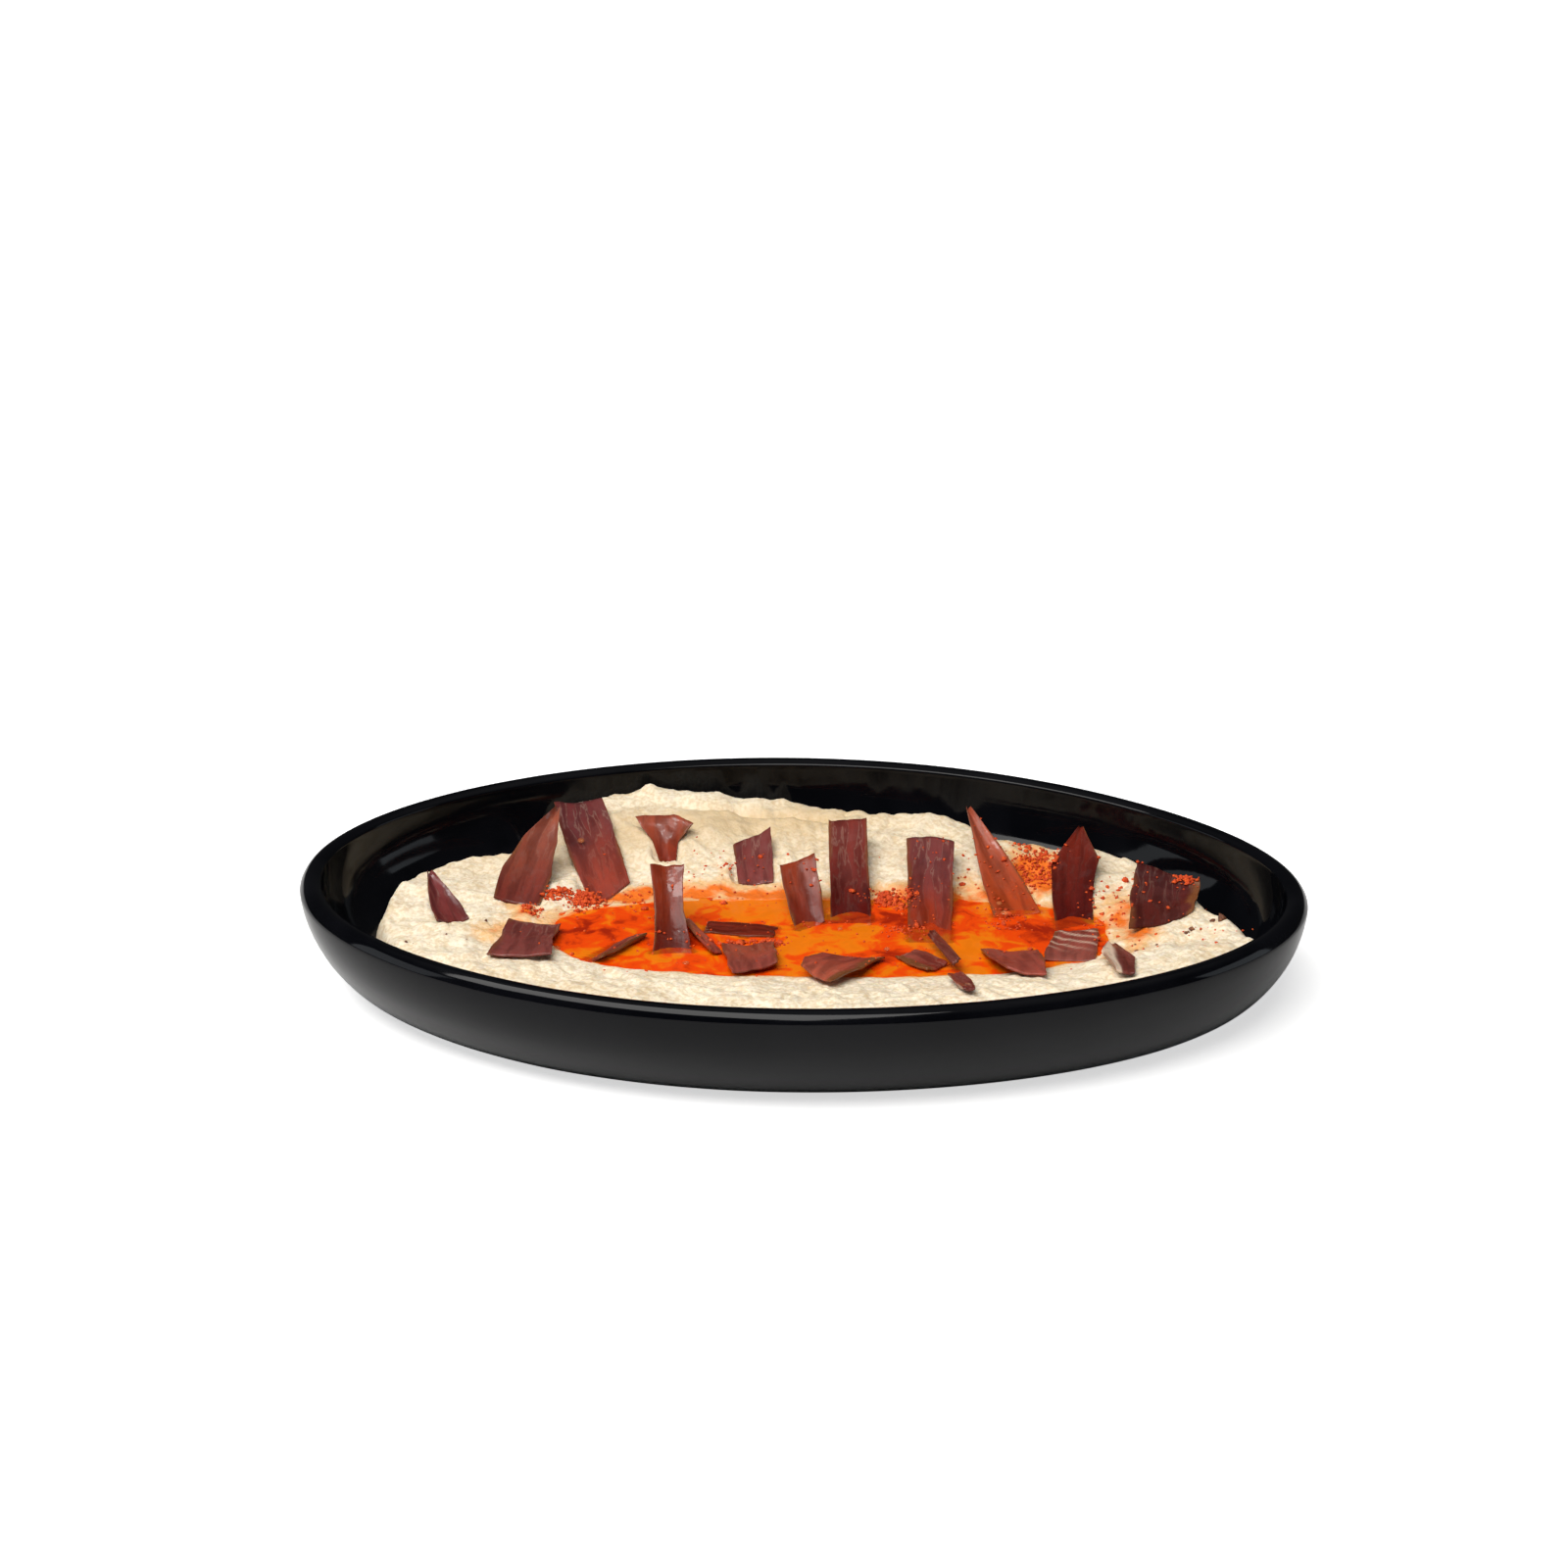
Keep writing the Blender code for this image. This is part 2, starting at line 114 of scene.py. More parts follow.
def set_layer(obj: bpy.types.Object, layer: Layer, values: Array) -> None:
    """Keeps values on the points of a mesh.

    Args:
        obj: The mesh object.
        layer: Which layer the values are.
        values: One number per point, or one row of three.
    """
    values = np.asarray(values, dtype=np.float32)
    kind, key = ("FLOAT", "value") if values.ndim == 1 else ("FLOAT_VECTOR", "vector")
    attribute = obj.data.attributes.new(layer.value, kind, "POINT")
    attribute.data.foreach_set(key, values.ravel())


def add_piece(obj: bpy.types.Object, finish: bpy.types.Material, nodes: tuple = ()) -> None:
    """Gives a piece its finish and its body.

    Args:
        obj: The mesh object.
        finish: Its material.
        nodes: The CAD nodes that it stands for.
    """
    obj.data.materials.append(finish)
    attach(obj, BODY)
    if nodes:
        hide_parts(*nodes)
    log.info("%s: %d faces", obj.name, len(obj.data.polygons))


def ring_faces(rings: int, count: int) -> list:
    """Quads between rings of points that close on themselves.

    Args:
        rings: Number of rings.
        count: Points in each ring.

    Returns:
        The faces, as lists of four point numbers.
    """
    row = np.arange(rings - 1)[:, None] * count
    here = np.arange(count)[None, :]
    after = (here + 1) % count
    quads = np.stack([row + here, row + after, row + count + after, row + count + here], axis=-1)
    return quads.reshape(-1, 4).tolist()


def fan_faces(start: int, count: int, middle: int, flip: bool = False) -> list:
    """Triangles from one ring to a middle point.

    Args:
        start: Number of the ring's first point.
        count: Points in the ring.
        middle: Number of the middle point.
        flip: Whether the faces turn the other way.

    Returns:
        The faces, as lists of three point numbers.
    """
    here = start + np.arange(count)
    after = start + (np.arange(count) + 1) % count
    centre = np.full(count, middle)
    faces = np.stack([after, here, centre] if flip else [here, after, centre], axis=-1)
    return faces.tolist()


def smoothstep(low: float, high: float, values: Array) -> Array:
    """A soft step from 0 at low to 1 at high."""
    share = np.clip((values - low) / (high - low), 0, 1)
    return share * share * (3 - 2 * share)


class Noise:
    """Smooth value noise over a plane, from -1 to 1, the same on every run."""

    def __init__(self, seed: int) -> None:
        """Keeps the seed."""
        self.seed = seed

    def _corner(self, i: Array, j: Array) -> Array:
        """The value at whole-numbered points."""
        mixed = (i * 374761393 + j * 668265263 + self.seed * 362437) & 0xFFFFFFFF
        mixed = ((mixed ^ (mixed >> 13)) * 1274126177) & 0xFFFFFFFF
        mixed = ((mixed ^ (mixed >> 15)) * 2246822519) & 0xFFFFFFFF
        return ((mixed ^ (mixed >> 16)) & 0xFFFF) / 32767.5 - 1

    def at(self, x: Array, y: Array) -> Array:
        """Noise with features about one unit across.

        Args:
            x: First coordinate.
            y: Second coordinate.

        Returns:
            Values from -1 to 1.
        """
        x, y = np.broadcast_arrays(np.asarray(x, float), np.asarray(y, float))
        i, j = np.floor(x).astype(np.int64), np.floor(y).astype(np.int64)
        u, v = x - i, y - j
        u, v = u**3 * (u * (6 * u - 15) + 10), v**3 * (v * (6 * v - 15) + 10)
        low = self._corner(i, j) * (1 - u) + self._corner(i + 1, j) * u
        high = self._corner(i, j + 1) * (1 - u) + self._corner(i + 1, j + 1) * u
        return low * (1 - v) + high * v

    def layered(self, x: Array, y: Array, octaves: int = 3, gain: float = 0.5) -> Array:
        """Noise with finer and weaker detail added.

        Args:
            x: First coordinate.
            y: Second coordinate.
            octaves: Number of layers.
            gain: Strength of each layer relative to the one before.

        Returns:
            Values of about -1 to 1.
        """
        total, strength, weight = 0.0, 1.0, 0.0
        for _ in range(octaves):
            total = total + strength * self.at(x, y)
            weight += strength
            strength *= gain
            x, y = 1.7 * x - 1.1 * y + 7.3, 1.1 * x + 1.7 * y - 3.1
        return total / weight


# ---------------------------------------------------------------- shared shader effects


class NodeSheet:
    """Adds and links the nodes of one material or group."""

    def __init__(self, tree: bpy.types.NodeTree) -> None:
        """Keeps the node tree."""
        self.tree = tree

    def add(self, kind: str, **settings: object) -> bpy.types.Node:
        """Adds a node and sets its properties.

        Args:
            kind: Node type, without its ShaderNode prefix.
            **settings: Properties of the node.

        Returns:
            The node.
        """
        node = self.tree.nodes.new("ShaderNode" + kind)
        for key, value in settings.items():
            setattr(node, key, value)
        return node

    def link(self, source: bpy.types.NodeSocket, node: bpy.types.Node, socket: object) -> None:
        """Links an output to a named or numbered input."""
        self.tree.links.new(source, node.inputs[socket])

    def feed(self, node: bpy.types.Node, socket: object, value: object) -> None:
        """Links or sets an input, by what the value is.

        Args:
            node: The node.
            socket: Name or number of the input.
            value: An output socket, a colour or a number.
        """
        if isinstance(value, bpy.types.NodeSocket):
            self.link(value, node, socket)
        elif isinstance(value, tuple) and node.inputs[socket].type == "RGBA":
            node.inputs[socket].default_value = (*value, 1.0)
        else:
            node.inputs[socket].default_value = value

    def math(self, operation: str, a: object, b: object = 0.0, clamp: bool = False) -> bpy.types.NodeSocket:
        """A Math node's result.

        Args:
            operation: Name of the operation.
            a: First value or socket.
            b: Second value or socket.
            clamp: Whether the result is held between 0 and 1.

        Returns:
            The output socket.
        """
        node = self.add("Math", operation=operation, use_clamp=clamp)
        self.feed(node, 0, a)
        self.feed(node, 1, b)
        return node.outputs[0]

    def mix(self, share: object, a: object, b: object, blend: str = "MIX") -> bpy.types.NodeSocket:
        """A colour mixed from two.

        Args:
            share: How much of the second, 0 to 1.
            a: First colour or socket.
            b: Second colour or socket.
            blend: The blend type.

        Returns:
            The output socket.
        """
        node = self.add("Mix", data_type="RGBA", blend_type=blend)
        self.feed(node, 0, share)
        self.feed(node, 6, a)
        self.feed(node, 7, b)
        return node.outputs[2]

    def spread(self, value: object, low: float, high: float, start: float, end: float) -> bpy.types.NodeSocket:
        """A value taken from one range to another, clamped and eased.

        Args:
            value: Value or socket.
            low: Input that gives start.
            high: Input that gives end.
            start: Result at low.
            end: Result at high.

        Returns:
            The output socket.
        """
        node = self.add("MapRange", interpolation_type="SMOOTHSTEP")
        for socket, item in enumerate((value, low, high, start, end)):
            self.feed(node, socket, item)
        return node.outputs[0]

    def layer(self, layer: Layer) -> bpy.types.Node:
        """The node that reads a layer of the mesh."""
        return self.add("Attribute", attribute_name=layer.value)

    def position(self) -> bpy.types.NodeSocket:
        """Place on the object, in metres."""
        return self.add("TexCoord").outputs["Object"]

    def group(self, tree: bpy.types.NodeTree, **inputs: object) -> bpy.types.Node:
        """Adds a shared effect.

        Args:
            tree: The node group.
            **inputs: Its inputs, with underscores for spaces.

        Returns:
            The group node.
        """
        node = self.add("Group")
        node.node_tree = tree
        for key, value in inputs.items():
            self.feed(node, key.replace("_", " "), value)
        return node


def new_group(name: str, inputs: dict, outputs: tuple) -> tuple:
    """Makes an empty node group.

    Args:
        name: Name of the group.
        inputs: Default value of each input. None makes a vector input.
        outputs: Names of the outputs, all of them values.

    Returns:
        The group, its sheet, its input node and its output node.
    """
    tree = bpy.data.node_groups.new(name, "ShaderNodeTree")
    for key, value in inputs.items():
        kind = "NodeSocketVector" if value is None else "NodeSocketFloat"
        socket = tree.interface.new_socket(key, in_out="INPUT", socket_type=kind)
        if value is not None:
            socket.default_value = value
    for key in outputs:
        tree.interface.new_socket(key, in_out="OUTPUT", socket_type="NodeSocketFloat")
    sheet = NodeSheet(tree)
    source = tree.nodes.new("NodeGroupInput")
    sink = tree.nodes.new("NodeGroupOutput")
    return tree, sheet, source, sink


class Effects:
    """Shader effects that several finishes share, each built once."""

    def __init__(self) -> None:
        """Builds every effect."""
        self.patches = self._patches()
        self.grain = self._grain()
        self.fibres = self._fibres()

    @staticmethod
    def _patches() -> bpy.types.NodeTree:
        """Cloudy patches with a border of chosen softness.

        Returns:
            The group: Vector, Scale, Level, Softness, Detail in; Mask, Cloud out.
        """
        inputs = {"Vector": None, "Scale": 100.0, "Level": 0.5, "Softness": 0.05, "Detail": 3.0}
        tree, sheet, source, sink = new_group("patches", inputs, ("Mask", "Cloud"))
        noise = sheet.add("TexNoise")
        noise.inputs["Roughness"].default_value = 0.55
        noise.inputs["Distortion"].default_value = 0.6
        for key in ("Vector", "Scale", "Detail"):
            sheet.link(source.outputs[key], noise, key)
        cloud = noise.outputs["Fac"]
        low = sheet.math("SUBTRACT", source.outputs["Level"], source.outputs["Softness"])
        high = sheet.math("ADD", source.outputs["Level"], source.outputs["Softness"])
        sheet.link(sheet.spread(cloud, low, high, 0.0, 1.0), sink, "Mask")
        sheet.link(cloud, sink, "Cloud")
        return tree

    @staticmethod
    def _grain() -> bpy.types.NodeTree:
        """Coarse and fine grain of a paste or a powder.

        Returns:
            The group: Vector, Scale, Fineness in; Height, Fleck out.
        """
        inputs = {"Vector": None, "Scale": 600.0, "Fineness": 3.0}
        tree, sheet, source, sink = new_group("grain", inputs, ("Height", "Fleck"))
        coarse = sheet.add("TexNoise")
        coarse.inputs["Detail"].default_value = 4.0
        coarse.inputs["Roughness"].default_value = 0.6
        sheet.link(source.outputs["Vector"], coarse, "Vector")
        sheet.link(source.outputs["Scale"], coarse, "Scale")
        cells = sheet.add("TexVoronoi", feature="SMOOTH_F1")
        cells.inputs["Smoothness"].default_value = 0.4
        sheet.link(source.outputs["Vector"], cells, "Vector")
        fine = sheet.math("MULTIPLY", source.outputs["Scale"], source.outputs["Fineness"])
        sheet.link(fine, cells, "Scale")
        dents = sheet.math("MULTIPLY", cells.outputs["Distance"], -0.35)
        sheet.link(sheet.math("ADD", coarse.outputs["Fac"], dents), sink, "Height")
        sheet.link(sheet.spread(coarse.outputs["Fac"], 0.6, 0.72, 0.0, 1.0), sink, "Fleck")
        return tree

    @staticmethod
    def _fibres() -> bpy.types.NodeTree:
        """Streaks drawn out along the second axis of the vector.

        Returns:
            The group: Vector, Across, Along in; Streak, Line out.
        """
        inputs = {"Vector": None, "Across": 1.6, "Along": 0.12}
        tree, sheet, source, sink = new_group("fibres", inputs, ("Streak", "Line"))
        split = sheet.add("SeparateXYZ")
        sheet.link(source.outputs["Vector"], split, 0)
        joined = sheet.add("CombineXYZ")
        sheet.link(sheet.math("MULTIPLY", split.outputs[0], source.outputs["Across"]), joined, 0)
        sheet.link(sheet.math("MULTIPLY", split.outputs[1], source.outputs["Along"]), joined, 1)
        sheet.link(split.outputs[2], joined, 2)
        noise = sheet.add("TexNoise")
        noise.inputs["Scale"].default_value = 1.0
        noise.inputs["Detail"].default_value = 3.0
        noise.inputs["Distortion"].default_value = 0.4
        sheet.link(joined.outputs[0], noise, "Vector")
        away = sheet.math("ABSOLUTE", sheet.math("SUBTRACT", noise.outputs["Fac"], 0.5))
        sheet.link(noise.outputs["Fac"], sink, "Streak")
        sheet.link(sheet.spread(away, 0.0, 0.035, 1.0, 0.0), sink, "Line")
        return tree


def new_material(name: str) -> tuple[bpy.types.Material, NodeSheet, bpy.types.Node]:
    """Makes a Principled material.

    Args:
        name: Name of the material.

    Returns:
        The material, its sheet and its shader.
    """
    material = bpy.data.materials.new(name)
    material.use_nodes = True
    shader = material.node_tree.nodes["Principled BSDF"]
    return material, NodeSheet(material.node_tree), shader


def add_bump(sheet: NodeSheet, shader: bpy.types.Node, height: object, depth: float, strength: float = 1.0) -> None:
    """Bumps the shader's normal.

    Args:
        sheet: The material's sheet.
        shader: The shader.
        height: Socket of the height, about 0 to 1.
        depth: Height of the relief in millimetres.
        strength: How much of it shows.
    """
    bump = sheet.add("Bump")
    bump.inputs["Strength"].default_value = strength
    bump.inputs["Distance"].default_value = depth * MM
    sheet.link(height, bump, "Height")
    sheet.link(bump.outputs[0], shader, "Normal")


@dataclass(frozen=True)
class BlackGlaze:
    """Glossy black glaze with faint ripples and pinholes."""

    colour: Colour = (0.0012, 0.0014, 0.0022)
    cloud: Colour = (0.0028, 0.0030, 0.0042)
    gloss: float = 0.05
    ior: float = 1.27
    cloud_scale: float = 45.0
    ripple_scale: float = 90.0
    ripple_depth: float = 0.02

    def build(self, effects: Effects) -> bpy.types.Material:
        """Makes the material.

        Args:
            effects: The shared effects.

        Returns:
            The material.
        """
        material, sheet, shader = new_material("black_glaze")
        place = sheet.position()
        clouds = sheet.group(effects.patches, Vector=place, Scale=self.cloud_scale, Level=0.5, Softness=0.2)
        sheet.feed(shader, "Base Color", sheet.mix(clouds.outputs["Mask"], self.colour, self.cloud))
        rough = sheet.spread(clouds.outputs["Cloud"], 0.3, 0.7, self.gloss, self.gloss + 0.05)
        sheet.feed(shader, "Roughness", rough)
        shader.inputs["IOR"].default_value = self.ior
        ripple = sheet.group(effects.grain, Vector=place, Scale=self.ripple_scale, Fineness=4.0)
        add_bump(sheet, shader, ripple.outputs["Height"], self.ripple_depth, 0.6)
        return material


@dataclass(frozen=True)
class HummusPaste:
    """Pale, slightly grainy paste, tinted where oil has run over it, with painted shade in the hollows of its grain, at
    the back and along the crest.
    """

    light: Colour = (0.93, 0.83, 0.655)
    # dark is both a random darker tone and the colour of painted shade.
    dark: Colour = (0.64, 0.465, 0.255)
    oiled: Colour = (0.82, 0.42, 0.12)
    soaked: Colour = (0.84, 0.16, 0.008)
    fleck: Colour = (0.52, 0.34, 0.17)
    grain_scale: float = 700.0
    grain_depth: float = 0.45
    cloud_scale: float = 70.0
    fleck_scale: float = 520.0
    blot_scale: float = 260.0
    dry_roughness: float = 0.55
    wet_roughness: float = 0.2
    ior: float = 1.42
    scatter: float = 0.12

    def build(self, effects: Effects) -> bpy.types.Material:
        """Makes the material.

        Args:
            effects: The shared effects.

        Returns:
            The material.
        """
        material, sheet, shader = new_material("hummus_paste")
        place = sheet.position()
        grain = sheet.group(effects.grain, Vector=place, Scale=self.grain_scale, Fineness=1.6)
        clouds = sheet.group(effects.patches, Vector=place, Scale=self.cloud_scale, Level=0.55, Softness=0.22)
        # Painted shade in the hollows of the grain: its low places take up to half the dark colour.
        pit_shade = sheet.spread(grain.outputs["Height"], 0.15, 0.45, 0.55, 0.0)
        shade = sheet.math("ADD", pit_shade, sheet.math("MULTIPLY", clouds.outputs["Mask"], 0.3), clamp=True)
        colour = sheet.mix(shade, self.light, self.dark)
        # Painted shade: the shade layer darkens the back beach, the crest and its furrow toward the dark colour.
        colour = sheet.mix(sheet.math("MULTIPLY", sheet.layer(Layer.PAINTED_SHADE).outputs["Fac"], 0.8), colour, self.dark)
        flecks = sheet.group(effects.patches, Vector=place, Scale=self.fleck_scale, Level=0.73, Softness=0.02)
        colour = sheet.mix(sheet.math("MULTIPLY", flecks.outputs["Mask"], 0.45), colour, self.fleck)
        stain = sheet.layer(Layer.STAIN).outputs["Fac"]
        blots = sheet.group(effects.patches, Vector=place, Scale=self.blot_scale, Level=0.5, Softness=0.18)
        ragged = sheet.math("MULTIPLY", sheet.math("SUBTRACT", blots.outputs["Cloud"], 0.5), 0.9)
        ragged = sheet.math("ADD", stain, ragged)
        tint = sheet.spread(ragged, 0.12, 0.55, 0.0, 0.9)
        soak = sheet.spread(ragged, 0.5, 0.95, 0.0, 0.95)
        tint = sheet.math("MULTIPLY", tint, sheet.spread(stain, 0.0, 0.06, 0.0, 1.0))
        colour = sheet.mix(sheet.math("MULTIPLY", tint, 0.75), colour, self.oiled)
        colour = sheet.mix(soak, colour, self.soaked)
        sheet.feed(shader, "Base Color", colour)
        wet = sheet.math("MAXIMUM", sheet.layer(Layer.WET).outputs["Fac"], tint)
        sheet.feed(shader, "Roughness", sheet.spread(wet, 0.0, 1.0, self.dry_roughness, self.wet_roughness))
        shader.inputs["IOR"].default_value = self.ior
        shader.inputs["Subsurface Weight"].default_value = self.scatter
        shader.inputs["Subsurface Radius"].default_value = (0.004, 0.0025, 0.0012)
        add_bump(sheet, shader, grain.outputs["Height"], self.grain_depth, 0.55)
        return material


@dataclass(frozen=True)
class PaprikaOil:
    """Orange oil over the paste, clouded by paprika that has sunk in it."""

    bright: Colour = (1.0, 0.235, 0.003)
    middle: Colour = (0.88, 0.066, 0.001)
    dark: Colour = (0.36, 0.016, 0.001)
    cloud_scale: float = 170.0
    cloud_contrast: float = 2.8
    thin_alpha: float = 0.72
    thick_alpha: float = 0.94
    clear_share: float = 0.45
    roughness: float = 0.035
    ior: float = 1.47

    def build(self, effects: Effects) -> bpy.types.Material:
        """Makes the material.

        Args:
            effects: The shared effects.

        Returns:
            The material.
        """
        material, sheet, shader = new_material("paprika_oil")
        place = sheet.position()
        deep = sheet.layer(Layer.DEEP).outputs["Fac"]
        clouds = sheet.group(effects.patches, Vector=place, Scale=self.cloud_scale, Level=0.5, Softness=0.12, Detail=6.0)
        ragged = sheet.math("MULTIPLY", sheet.math("SUBTRACT", clouds.outputs["Cloud"], 0.5), self.cloud_contrast)
        ragged = sheet.math("ADD", deep, ragged)
        colour = sheet.mix(sheet.spread(ragged, 0.0, 0.5, 0.0, 1.0), self.bright, self.middle)
        colour = sheet.mix(sheet.spread(ragged, 0.5, 1.1, 0.0, 1.0), colour, self.dark)
        sheet.feed(shader, "Base Color", colour)
        shader.inputs["Roughness"].default_value = self.roughness
        shader.inputs["IOR"].default_value = self.ior
        thick = sheet.spread(ragged, -0.3, 0.7, self.thin_alpha, self.thick_alpha)
        clear = sheet.spread(sheet.layer(Layer.CLEAR).outputs["Fac"], 0.0, 1.0, 1.0, self.clear_share)
        sheet.feed(shader, "Alpha", sheet.math("MULTIPLY", thick, clear))
        swell = sheet.group(effects.patches, Vector=place, Scale=160.0, Level=0.5, Softness=0.3)
        add_bump(sheet, shader, swell.outputs["Cloud"], 0.12, 0.7)
        return material


@dataclass(frozen=True)
class CuredMeat:
    """Dried cured meat: dark and wet in patches, with a dry bloom that is partly a painted sheen, fibres, fat and brown
    edges.
    """

    # The bloom colour is a dry bloom and partly a painted sheen.
    bloom_and_sheen: Colour = (0.17, 0.044, 0.038)
    fat: Colour = (0.80, 0.62, 0.47)
    crust: Colour = (0.17, 0.055, 0.018)
    crumb: Colour = (0.32, 0.14, 0.05)
    wet_scale: float = 0.11
    bead_scale: float = 0.32
    bead_shine: float = 0.7
    relief: float = 0.22
    ior: float = 1.34
    scatter: float = 0.1

    def build(self, effects: Effects) -> bpy.types.Material:
        """Makes the material.

        Args:
            effects: The shared effects.

        Returns:
            The material.
        """
        material, sheet, shader = new_material("cured_meat")
        strip = sheet.layer(Layer.STRIP).outputs["Vector"]
        tone = sheet.layer(Layer.TONE).outputs["Vector"]
        haze = sheet.layer(Layer.HAZE).outputs["Fac"]
        fibres = sheet.group(effects.fibres, Vector=strip, Across=0.55, Along=0.09)
        streak = sheet.spread(fibres.outputs["Streak"], 0.3, 0.7, 0.55, 0.95)
        scale = sheet.add("VectorMath", operation="SCALE")
        sheet.link(tone, scale, 0)
        sheet.link(streak, scale, "Scale")
        wet = sheet.group(effects.patches, Vector=strip, Scale=self.wet_scale, Level=0.48, Softness=0.03, Detail=2.0)
        dry = sheet.math("MULTIPLY", sheet.math("SUBTRACT", 1.0, wet.outputs["Mask"]), haze)
        # Dry parts take the bloom colour, more toward the tip: a dry bloom that is partly a painted sheen.
        colour = sheet.mix(sheet.math("MULTIPLY", dry, 0.45), scale.outputs[0], self.bloom_and_sheen)
        lines = sheet.math("MULTIPLY", fibres.outputs["Line"], sheet.math("MULTIPLY", haze, 0.16))
        colour = sheet.mix(lines, colour, self.fat)
        flecks = sheet.group(effects.patches, Vector=strip, Scale=0.9, Level=0.66, Softness=0.03)
        colour = sheet.mix(sheet.math("MULTIPLY", flecks.outputs["Mask"], 0.15), colour, self.bloom_and_sheen)
        fat = sheet.layer(Layer.FAT).outputs["Fac"]
        colour = sheet.mix(sheet.math("MULTIPLY", fat, 0.9), colour, self.fat)
        crust = sheet.layer(Layer.CRUST).outputs["Fac"]
        crumbly = sheet.group(effects.grain, Vector=strip, Scale=1.6, Fineness=2.0)
        brown = sheet.mix(crumbly.outputs["Fleck"], self.crust, self.crumb)
        colour = sheet.mix(crust, colour, brown)
        sheet.feed(shader, "Base Color", colour)
        sheet.feed(shader, "Roughness", sheet.spread(dry, 0.0, 0.8, 0.3, 0.42))
        beads = sheet.group(effects.patches, Vector=strip, Scale=self.bead_scale, Level=0.58, Softness=0.03, Detail=2.0)
        shine = sheet.math("MULTIPLY", beads.outputs["Mask"], wet.outputs["Mask"])
        sheet.feed(shader, "Coat Weight", sheet.math("MULTIPLY", shine, self.bead_shine))
        shader.inputs["Coat Roughness"].default_value = 0.03
        shader.inputs["IOR"].default_value = self.ior
        shader.inputs["Subsurface Weight"].default_value = self.scatter
        shader.inputs["Subsurface Radius"].default_value = (0.003, 0.0008, 0.0004)
        relief = sheet.math("ADD", fibres.outputs["Streak"], sheet.math("MULTIPLY", wet.outputs["Cloud"], 0.6))
        relief = sheet.math("ADD", relief, sheet.math("MULTIPLY", crumbly.outputs["Height"], 0.12))
        relief = sheet.math("ADD", relief, sheet.math("MULTIPLY", beads.outputs["Cloud"], 1.2))
        add_bump(sheet, shader, relief, self.relief, 0.5)
        return material


@dataclass(frozen=True)
class Powder:
    """A dry grainy finish for paprika and crumbs."""

    name: str
    light: Colour
    dark: Colour
    roughness: float = 0.75

    def build(self, effects: Effects) -> bpy.types.Material:
        """Makes the material.

        Args:
            effects: The shared effects.

        Returns:
            The material.
        """
        material, sheet, shader = new_material(self.name)
        place = sheet.position()
        grain = sheet.group(effects.grain, Vector=place, Scale=900.0, Fineness=3.0)
        share = sheet.spread(grain.outputs["Height"], 0.2, 0.6, 0.0, 1.0)
        sheet.feed(shader, "Base Color", sheet.mix(share, self.dark, self.light))
        shader.inputs["Roughness"].default_value = self.roughness
        add_bump(sheet, shader, grain.outputs["Height"], 0.15, 0.6)
        return material


@dataclass(frozen=True)
class ClearDrop:
    """Drops of clear, slightly golden oil."""

    colour: Colour = (0.75, 0.30, 0.12)
    alpha: float = 0.35
    deeper: Colour = (0.5, 0.12, 0.03)

    def build(self, effects: Effects) -> bpy.types.Material:
        """Makes the material.

        Args:
            effects: The shared effects.

        Returns:
            The material.
        """
        material, sheet, shader = new_material("oil_drops")
        clouds = sheet.group(effects.patches, Vector=sheet.position(), Scale=300.0, Level=0.5, Softness=0.3)
        sheet.feed(shader, "Base Color", sheet.mix(clouds.outputs["Mask"], self.colour, self.deeper))
        shader.inputs["Roughness"].default_value = 0.02
        shader.inputs["IOR"].default_value = 1.47
        shader.inputs["Alpha"].default_value = self.alpha
        return material


# ---------------------------------------------------------------- the dish


